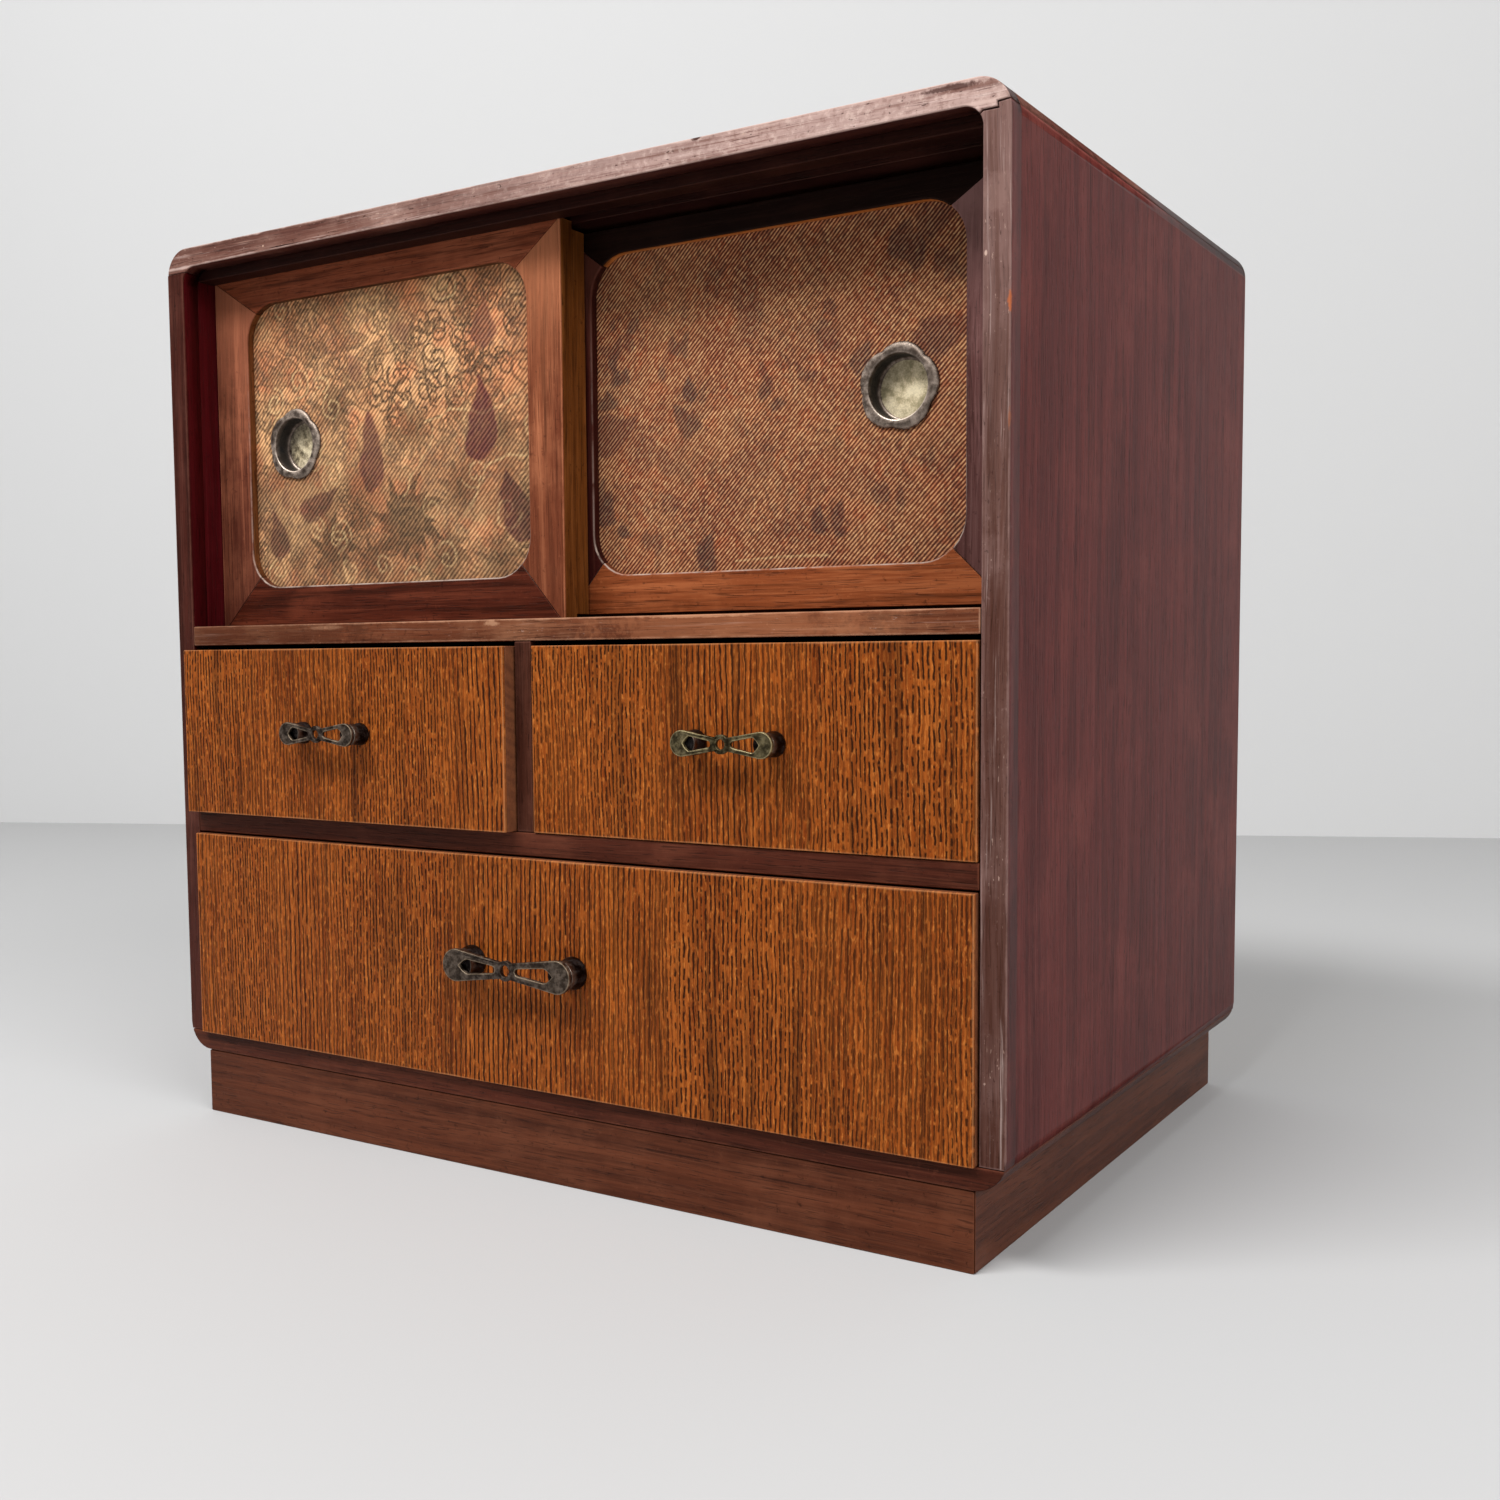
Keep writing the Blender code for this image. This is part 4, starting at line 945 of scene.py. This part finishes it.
    def scatter(self, random, before, after, spacing, rows, shake, largest):
        """Random places, directions and sizes, row by row over the cloth and past its edges."""
        for v in np.arange(self.v.min() - before, self.v.max() + after, spacing * rows):
            for u in np.arange(self.u.min() - before, self.u.max() + after, spacing):
                place = np.array((u, v)) + random.uniform(-shake, shake, 2) * spacing
                yield place, random.uniform(0, tau), random.uniform(0.7, largest)

    def leafage(self, random, spacing, strength):
        """Leaves, ferns, flowers and bursts scattered over the whole cloth."""
        for place, angle, size in self.scatter(random, 0.004, 0.01, spacing, 0.85, 0.5, 1.25):
            force = strength * random.uniform(0.5, 1.1)
            kind = random.integers(0, 4)
            if kind == 0:
                self.flower(place, 0.0085 * size, 6 + random.integers(0, 3), angle, force)
            elif kind == 1:
                self.fern(place, angle, 0.026 * size, random.uniform(-0.5, 0.5), 0.0085 * size, force)
            elif kind == 2:
                self.leaf(place, angle, 0.024 * size, 0.010 * size, random.uniform(-0.2, 0.2), force)
            else:
                self.burst(place, 0.011 * size, 9 + random.integers(0, 5), angle, force)

    def scrollwork(self, random, spacing):
        """Fine curls and veined leaves in outline, here and there doubled by a pale line."""
        for place, angle, size in self.scatter(random, 0.0, 0.004, spacing, 1.0, 0.45, 1.3):
            way = random.choice((-1, 1))
            if random.random() < 0.36:
                self.leaf(place, angle, 0.032 * size, 0.0145 * size, 0.2 * way, 0.3, 0.0013, 8)
                continue
            self.curl(place, 0.0076 * size, angle, 1.4 * way, 0.0013, LINE_INK, 1.0)
            self.curl(place + random.uniform(-0.009, 0.009, 2), 0.0054 * size, angle + 3, -1.2 * way, 0.0012,
                      LINE_INK, 1.0)
            if random.random() < 0.18:
                self.curl(place + 0.0014, 0.0076 * size, angle, 1.4 * way, 0.0011, PALE_INK, 0.9)

    def soften(self, times):
        """Let the inks run together."""
        for axis in (0, 1) * times:
            self.inks = (np.roll(self.inks, 1, axis) + 2 * self.inks + np.roll(self.inks, -1, axis)) / 4

    def roughen(self, random, shake):
        """Pull the print out of true, slowly over the cloth and from thread to thread."""
        shift = random.normal(0, shake, self.u.shape + (2,))
        for _ in range(6):
            wave, turn = random.uniform(150, 450, 2), random.uniform(0, tau, 3)
            swing = np.sin(self.u * wave[0] + turn[0]) * np.sin(self.v * wave[1] + turn[1])
            shift += swing[..., None] * np.array((cos(turn[2]), sin(turn[2])))
        rows, columns = np.rint(np.indices(self.u.shape) + np.moveaxis(shift, -1, 0)).astype(int)
        self.inks = self.inks[rows.clip(0, self.u.shape[0] - 1), columns.clip(0, self.u.shape[1] - 1)]

    def fade(self, random, low, high):
        """Wear the inks away in broad patches."""
        worn = np.zeros(self.u.shape)
        for _ in range(7):
            across, up, turn = random.uniform(12, 60), random.uniform(12, 60), random.uniform(0, tau, 2)
            worn += np.sin(self.u * across + turn[0]) * np.sin(self.v * up + turn[1]) / 2.2
        share = np.clip(0.5 + worn * 0.6, 0, 1)
        self.inks *= (low + (high - low) * share)[..., None]


# Left print: bursts under and over the scrolls as (u, v, reach, strength), pale vines and maroon leaves
UNDER_BURSTS = ((0.112, 0.030, 0.026), (0.150, 0.042, 0.018), (0.062, 0.094, 0.016), (0.060, 0.020, 0.020),
                (0.090, 0.012, 0.016), (0.135, 0.012, 0.018), (0.180, 0.060, 0.012), (0.040, 0.070, 0.014))
OVER_BURSTS = ((0.114, 0.032, 0.028, 0.75), (0.152, 0.046, 0.018, 0.5), (0.062, 0.096, 0.018, 0.6),
               (0.060, 0.020, 0.021, 0.6), (0.142, 0.012, 0.017, 0.6), (0.180, 0.074, 0.015, 0.5),
               (0.038, 0.066, 0.014, 0.5), (0.118, 0.080, 0.016, 0.5), (0.178, 0.010, 0.016, 0.6))
VINES = (((0.128, 0.082), (0.146, 0.088), (0.168, 0.084), (0.190, 0.090)),
         ((0.112, 0.046), (0.120, 0.060), (0.128, 0.066), (0.133, 0.078)),
         ((0.168, 0.056), (0.182, 0.062), (0.196, 0.060), (0.206, 0.050)),
         ((0.150, 0.030), (0.160, 0.040), (0.166, 0.052)))
# Place, angle, length, width, hook and strength
LEAVES = (
    ((0.089, 0.048), 1.60, 0.045, 0.0200, 0.06, 0.85), ((0.161, 0.060), 1.36, 0.044, 0.0230, 0.30, 1.0),
    ((0.197, 0.018), 2.05, 0.040, 0.0230, -0.12, 0.95), ((0.018, 0.014), 1.72, 0.030, 0.0165, 0.14, 0.85),
    ((0.034, 0.040), 0.32, 0.032, 0.0165, 0.2, 0.85), ((0.167, 0.116), 1.50, 0.026, 0.0180, 0.0, 0.7),
    ((0.118, 0.128), 2.70, 0.018, 0.0130, 0.1, 0.6), ((0.080, 0.108), 1.90, 0.018, 0.0120, 0.1, 0.6),
    ((0.022, 0.044), 1.5, 0.012, 0.0080, 0.1, 0.6), ((0.180, 0.030), 1.7, 0.016, 0.0110, 0.1, 0.45))


def left_print(cloth, wide, tall):
    """Scrolls over faint leafage, with bursts, vines and maroon leaves, worn and hazy towards the foot."""
    random = np.random.default_rng(23)
    height = cloth.v / tall
    upper = np.clip((height - 0.30) / 0.3, 0, 1)
    cloth.leafage(random, 0.0145, 0.7)
    for u, v, reach in UNDER_BURSTS:
        cloth.burst((u, v), reach, 15, u * 40, 1.0)
    cloth.fade(random, 0.3, 0.95)
    lines = cloth.blank()
    lines.scrollwork(random, 0.0120)
    beside = np.clip(1.3 - np.minimum(cloth.u, wide - cloth.u) / 0.022, 0, 1)
    lines.inks *= np.maximum(0.66 + 0.26 * upper, beside)[..., None]
    lines.fade(random, 0.75, 1.15)
    for u, v, reach, force in OVER_BURSTS:
        lines.burst((u, v), reach, 15, u * 40, force + 0.2)
        lines.burst((u, v), reach * 0.5, 9, u * 60, force + 0.4)
    for vine in VINES:
        lines.stroke(vine, 0.0011, PALE_INK, 0.7)
    leaves = cloth.blank()
    for leaf in LEAVES:
        leaves.paisley(*leaf)
    leaves.soften(1)
    lines.inks *= 1 - 0.75 * leaves.inks[..., :1]
    broad = (1.3 - 0.95 * upper)[..., None]
    cloth.inks = np.maximum(np.maximum(cloth.inks * broad, lines.inks), leaves.inks)
    haze = cloth.blank()
    haze.inks[..., LINE_INK] = random.random(cloth.u.shape) * np.clip((0.62 - height) / 0.3, 0, 1)
    haze.soften(2)
    cloth.inks = 1 - (1 - cloth.inks) * (1 - 0.6 * haze.inks)
    cloth.inks *= (1 - 0.12 * np.clip((height - 0.72) / 0.2, 0, 1))[..., None]
    cloth.roughen(random, 0.2)


# Right print: place, number, reach and strength of each cluster of small leaves
CLUSTERS = (
    (0.046, 0.100, 3, 0.011, 0.75), (0.052, 0.074, 4, 0.013, 0.85), (0.016, 0.090, 6, 0.012, 0.8),
    (0.016, 0.112, 5, 0.010, 0.6), (0.100, 0.080, 3, 0.011, 0.75), (0.128, 0.106, 4, 0.012, 0.7),
    (0.136, 0.092, 2, 0.015, 0.75), (0.172, 0.140, 6, 0.014, 0.7), (0.012, 0.026, 5, 0.014, 0.85),
    (0.030, 0.014, 4, 0.010, 0.6), (0.056, 0.006, 2, 0.015, 0.8), (0.137, 0.014, 3, 0.014, 0.8),
    (0.166, 0.022, 3, 0.010, 0.6), (0.186, 0.040, 4, 0.010, 0.5), (0.078, 0.140, 3, 0.012, 0.4),
    (0.050, 0.046, 4, 0.019, 0.45), (0.094, 0.050, 4, 0.017, 0.4), (0.190, 0.120, 4, 0.012, 0.6))


def right_print(cloth, wide, tall):
    """Clusters of small leaves over very faint leafage, with pale specks and one pale thread."""
    random = np.random.default_rng(5)
    cloth.leafage(random, 0.018, 0.42)
    cloth.fade(random, 0.0, 0.7)
    for u, v, leaves, reach, strength in CLUSTERS:
        for _ in range(leaves):
            swing = random.normal(1.6, 0.7)
            foot = np.array((u, v)) + random.uniform(-0.8, 0.8, 2) * reach
            size = reach * random.uniform(0.75, 1.2)
            width = size * random.uniform(0.45, 0.7)
            cloth.leaf(foot, swing, size, width, 0.1, strength * random.uniform(0.9, 1.2))
    cloth.paisley((-0.004, 0.066), 0.35, 0.030, 0.022, 0.05, 0.8)
    cloth.paisley((0.172, 0.096), 0.25, 0.034, 0.020, 0.05, 0.8)
    cloth.soften(1)
    cloth.roughen(random, 0.4)
    for u, v in random.uniform((0, 0), (wide, tall), (60, 2)):
        cloth.stroke(((u, v), (u + 0.0008, v + 0.0006)), 0.0006, PALE_INK, random.uniform(0.4, 0.9))
    cloth.stroke(((0.080, 0.0045), (0.108, 0.0056), (0.130, 0.0052)), 0.0007, PALE_INK, 0.9)


LEFT_CLOTH = printed_cloth(
    "left_door_twill", 0.00074, ((224, 153, 105), (240, 147, 100), (252, 195, 138)), (116, 92, 84), 0.45,
    (78, 60, 46), (98, 34, 50), 0.84, 0.66, 0.40)
RIGHT_CLOTH = printed_cloth(
    "right_door_twill", 0.00057, ((156, 88, 60), (184, 100, 64), (174, 114, 78)), (94, 66, 58), 0.4,
    (62, 47, 52), (78, 32, 42), 0.66, 0.82, 0.75)
CLOTH_STEP, CLOTH_HOLE, CLOTH_LIFT, CLOTH_INSET, HIDDEN_EDGE = 0.0006, 0.0160, 0.00016, 0.0002, 0.0065
for door, weave, pattern in (("left_door", LEFT_CLOTH, left_print), ("right_door", RIGHT_CLOTH, right_print)):
    low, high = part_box(door + "_panel")
    across = np.arange(low.x + CLOTH_INSET, high.x, CLOTH_STEP)
    up = np.arange(low.z + CLOTH_INSET, high.z, CLOTH_STEP)
    cloth = BlockPrint(across - low.x - HIDDEN_EDGE, up - low.z - HIDDEN_EDGE)
    pattern(cloth, high.x - low.x - 2 * HIDDEN_EDGE, high.z - low.z - 2 * HIDDEN_EDGE)
    spots = np.stack((cloth.u + low.x + HIDDEN_EDGE, np.full(cloth.u.shape, low.y - CLOTH_LIFT),
                      cloth.v + low.z + HIDDEN_EDGE), -1).reshape(-1, 3)
    order = np.arange(cloth.u.size).reshape(cloth.u.shape)
    squares = np.stack((order[:-1, :-1], order[:-1, 1:], order[1:, 1:], order[1:, :-1]), -1).reshape(-1, 4)
    middle = spots[squares].mean(1)
    centre = PULL_CENTRES[door]
    squares = squares[np.hypot(middle[:, 0] - centre[0], middle[:, 2] - centre[1]) > CLOTH_HOLE]
    mesh = bpy.data.meshes.new(door + "_cloth")
    mesh.from_pydata(spots.tolist(), [], squares.tolist())
    layer = mesh.attributes.new("print", "FLOAT_COLOR", "POINT")
    inks = np.concatenate((cloth.inks, np.ones(cloth.u.shape + (1,))), -1).clip(0, 1)
    layer.data.foreach_set("color", inks.astype(np.float32).ravel())
    form = bmesh.new()
    form.from_mesh(mesh)
    bpy.data.meshes.remove(mesh)
    bmesh.ops.delete(form, geom=[vert for vert in form.verts if not vert.link_faces], context="VERTS")
    piece = keep(form, door + "_cloth", door, weave, "printed_cloth_panel")
    door + "_panel_wood"


def plain_stage(name, corners, colour):
    """One flat face of the room."""
    form = bmesh.new()
    form.faces.new([form.verts.new(corner) for corner in corners])
    mesh = bpy.data.meshes.new(name)
    form.to_mesh(mesh)
    form.free()
    _, finish = new_material(name)
    mesh.materials.append(finish({"Base Color": colour, "Roughness": 0.8, "Specular IOR Level": 0.2}))
    stage = bpy.data.objects.new(name, mesh)
    bpy.context.scene.collection.objects.link(stage)


# Floor and wall behind
WALL_POINT, WALL_RISE = Vector((-0.8, 1.21, 0.0)), Vector((0, 0, 4))
WALL_TURN, STAGE_REACH = radians(22.8), 6.0
wall_run = Vector((cos(WALL_TURN), sin(WALL_TURN), 0)) * STAGE_REACH
wall_left, wall_right = WALL_POINT - wall_run, WALL_POINT + wall_run
near = Vector((sin(WALL_TURN), -cos(WALL_TURN), 0)) * STAGE_REACH
plain_stage("floor", (wall_left + near, wall_right + near, wall_right, wall_left), rgb(196, 196, 196))
plain_stage("wall", (wall_left, wall_right, wall_right + WALL_RISE, wall_left + WALL_RISE),
            rgb(219, 219, 219))


def add_light(name, place, target, size, power):
    lamp = bpy.data.lights.new(name, "AREA")
    lamp.shape = "RECTANGLE"
    lamp.size, lamp.size_y = size
    lamp.energy = power
    light = bpy.data.objects.new(name, lamp)
    light.location = place
    light.rotation_euler = (Vector(target) - Vector(place)).to_track_quat("-Z", "Y").to_euler()
    bpy.context.scene.collection.objects.link(light)


add_light("softbox", (-0.5, -1.75, 2.5), (0, 0, 0.2), (2.0, 0.7), 88)
add_light("side_fill", (2.2, -1.0, 1.8), (0.1, 0, 0.2), (1.8, 1.4), 43)
world = bpy.data.worlds.new("room")
world.use_nodes = True
world.node_tree.nodes["Background"].inputs["Color"].default_value = (1, 1, 1, 1)
world.node_tree.nodes["Background"].inputs["Strength"].default_value = 0.22
bpy.context.scene.world = world

# Camera at the photograph's place: offset from the carcass corner, turns in radians, lens in pixels
EYE = CORNER + Vector((0.7472, -0.6152, 0.2611))
YAW, PITCH, ROLL = 0.57996, -0.07418, -0.00942
FOCAL, FRAME_SIZE, AXIS_POINT = 1613.94, 1500, (685.4, 772.8)
forward = Vector((-sin(YAW) * cos(PITCH), cos(YAW) * cos(PITCH), sin(PITCH)))
level = forward.cross(Vector((0, 0, 1))).normalized()
upright = level.cross(forward)
right = cos(ROLL) * level + sin(ROLL) * upright
upward = -sin(ROLL) * level + cos(ROLL) * upright
lens = bpy.data.cameras.new("camera")
lens.sensor_width = 36
lens.lens = FOCAL / FRAME_SIZE * lens.sensor_width
lens.shift_x = 0.5 - AXIS_POINT[0] / FRAME_SIZE
lens.shift_y = AXIS_POINT[1] / FRAME_SIZE - 0.5
camera = bpy.data.objects.new("camera", lens)
turn = Matrix((right, upward, -forward)).transposed().to_4x4()
camera.matrix_world = Matrix.Translation(EYE) @ turn
bpy.context.scene.collection.objects.link(camera)
bpy.context.scene.camera = camera
bpy.context.scene.view_settings.view_transform = "Standard"
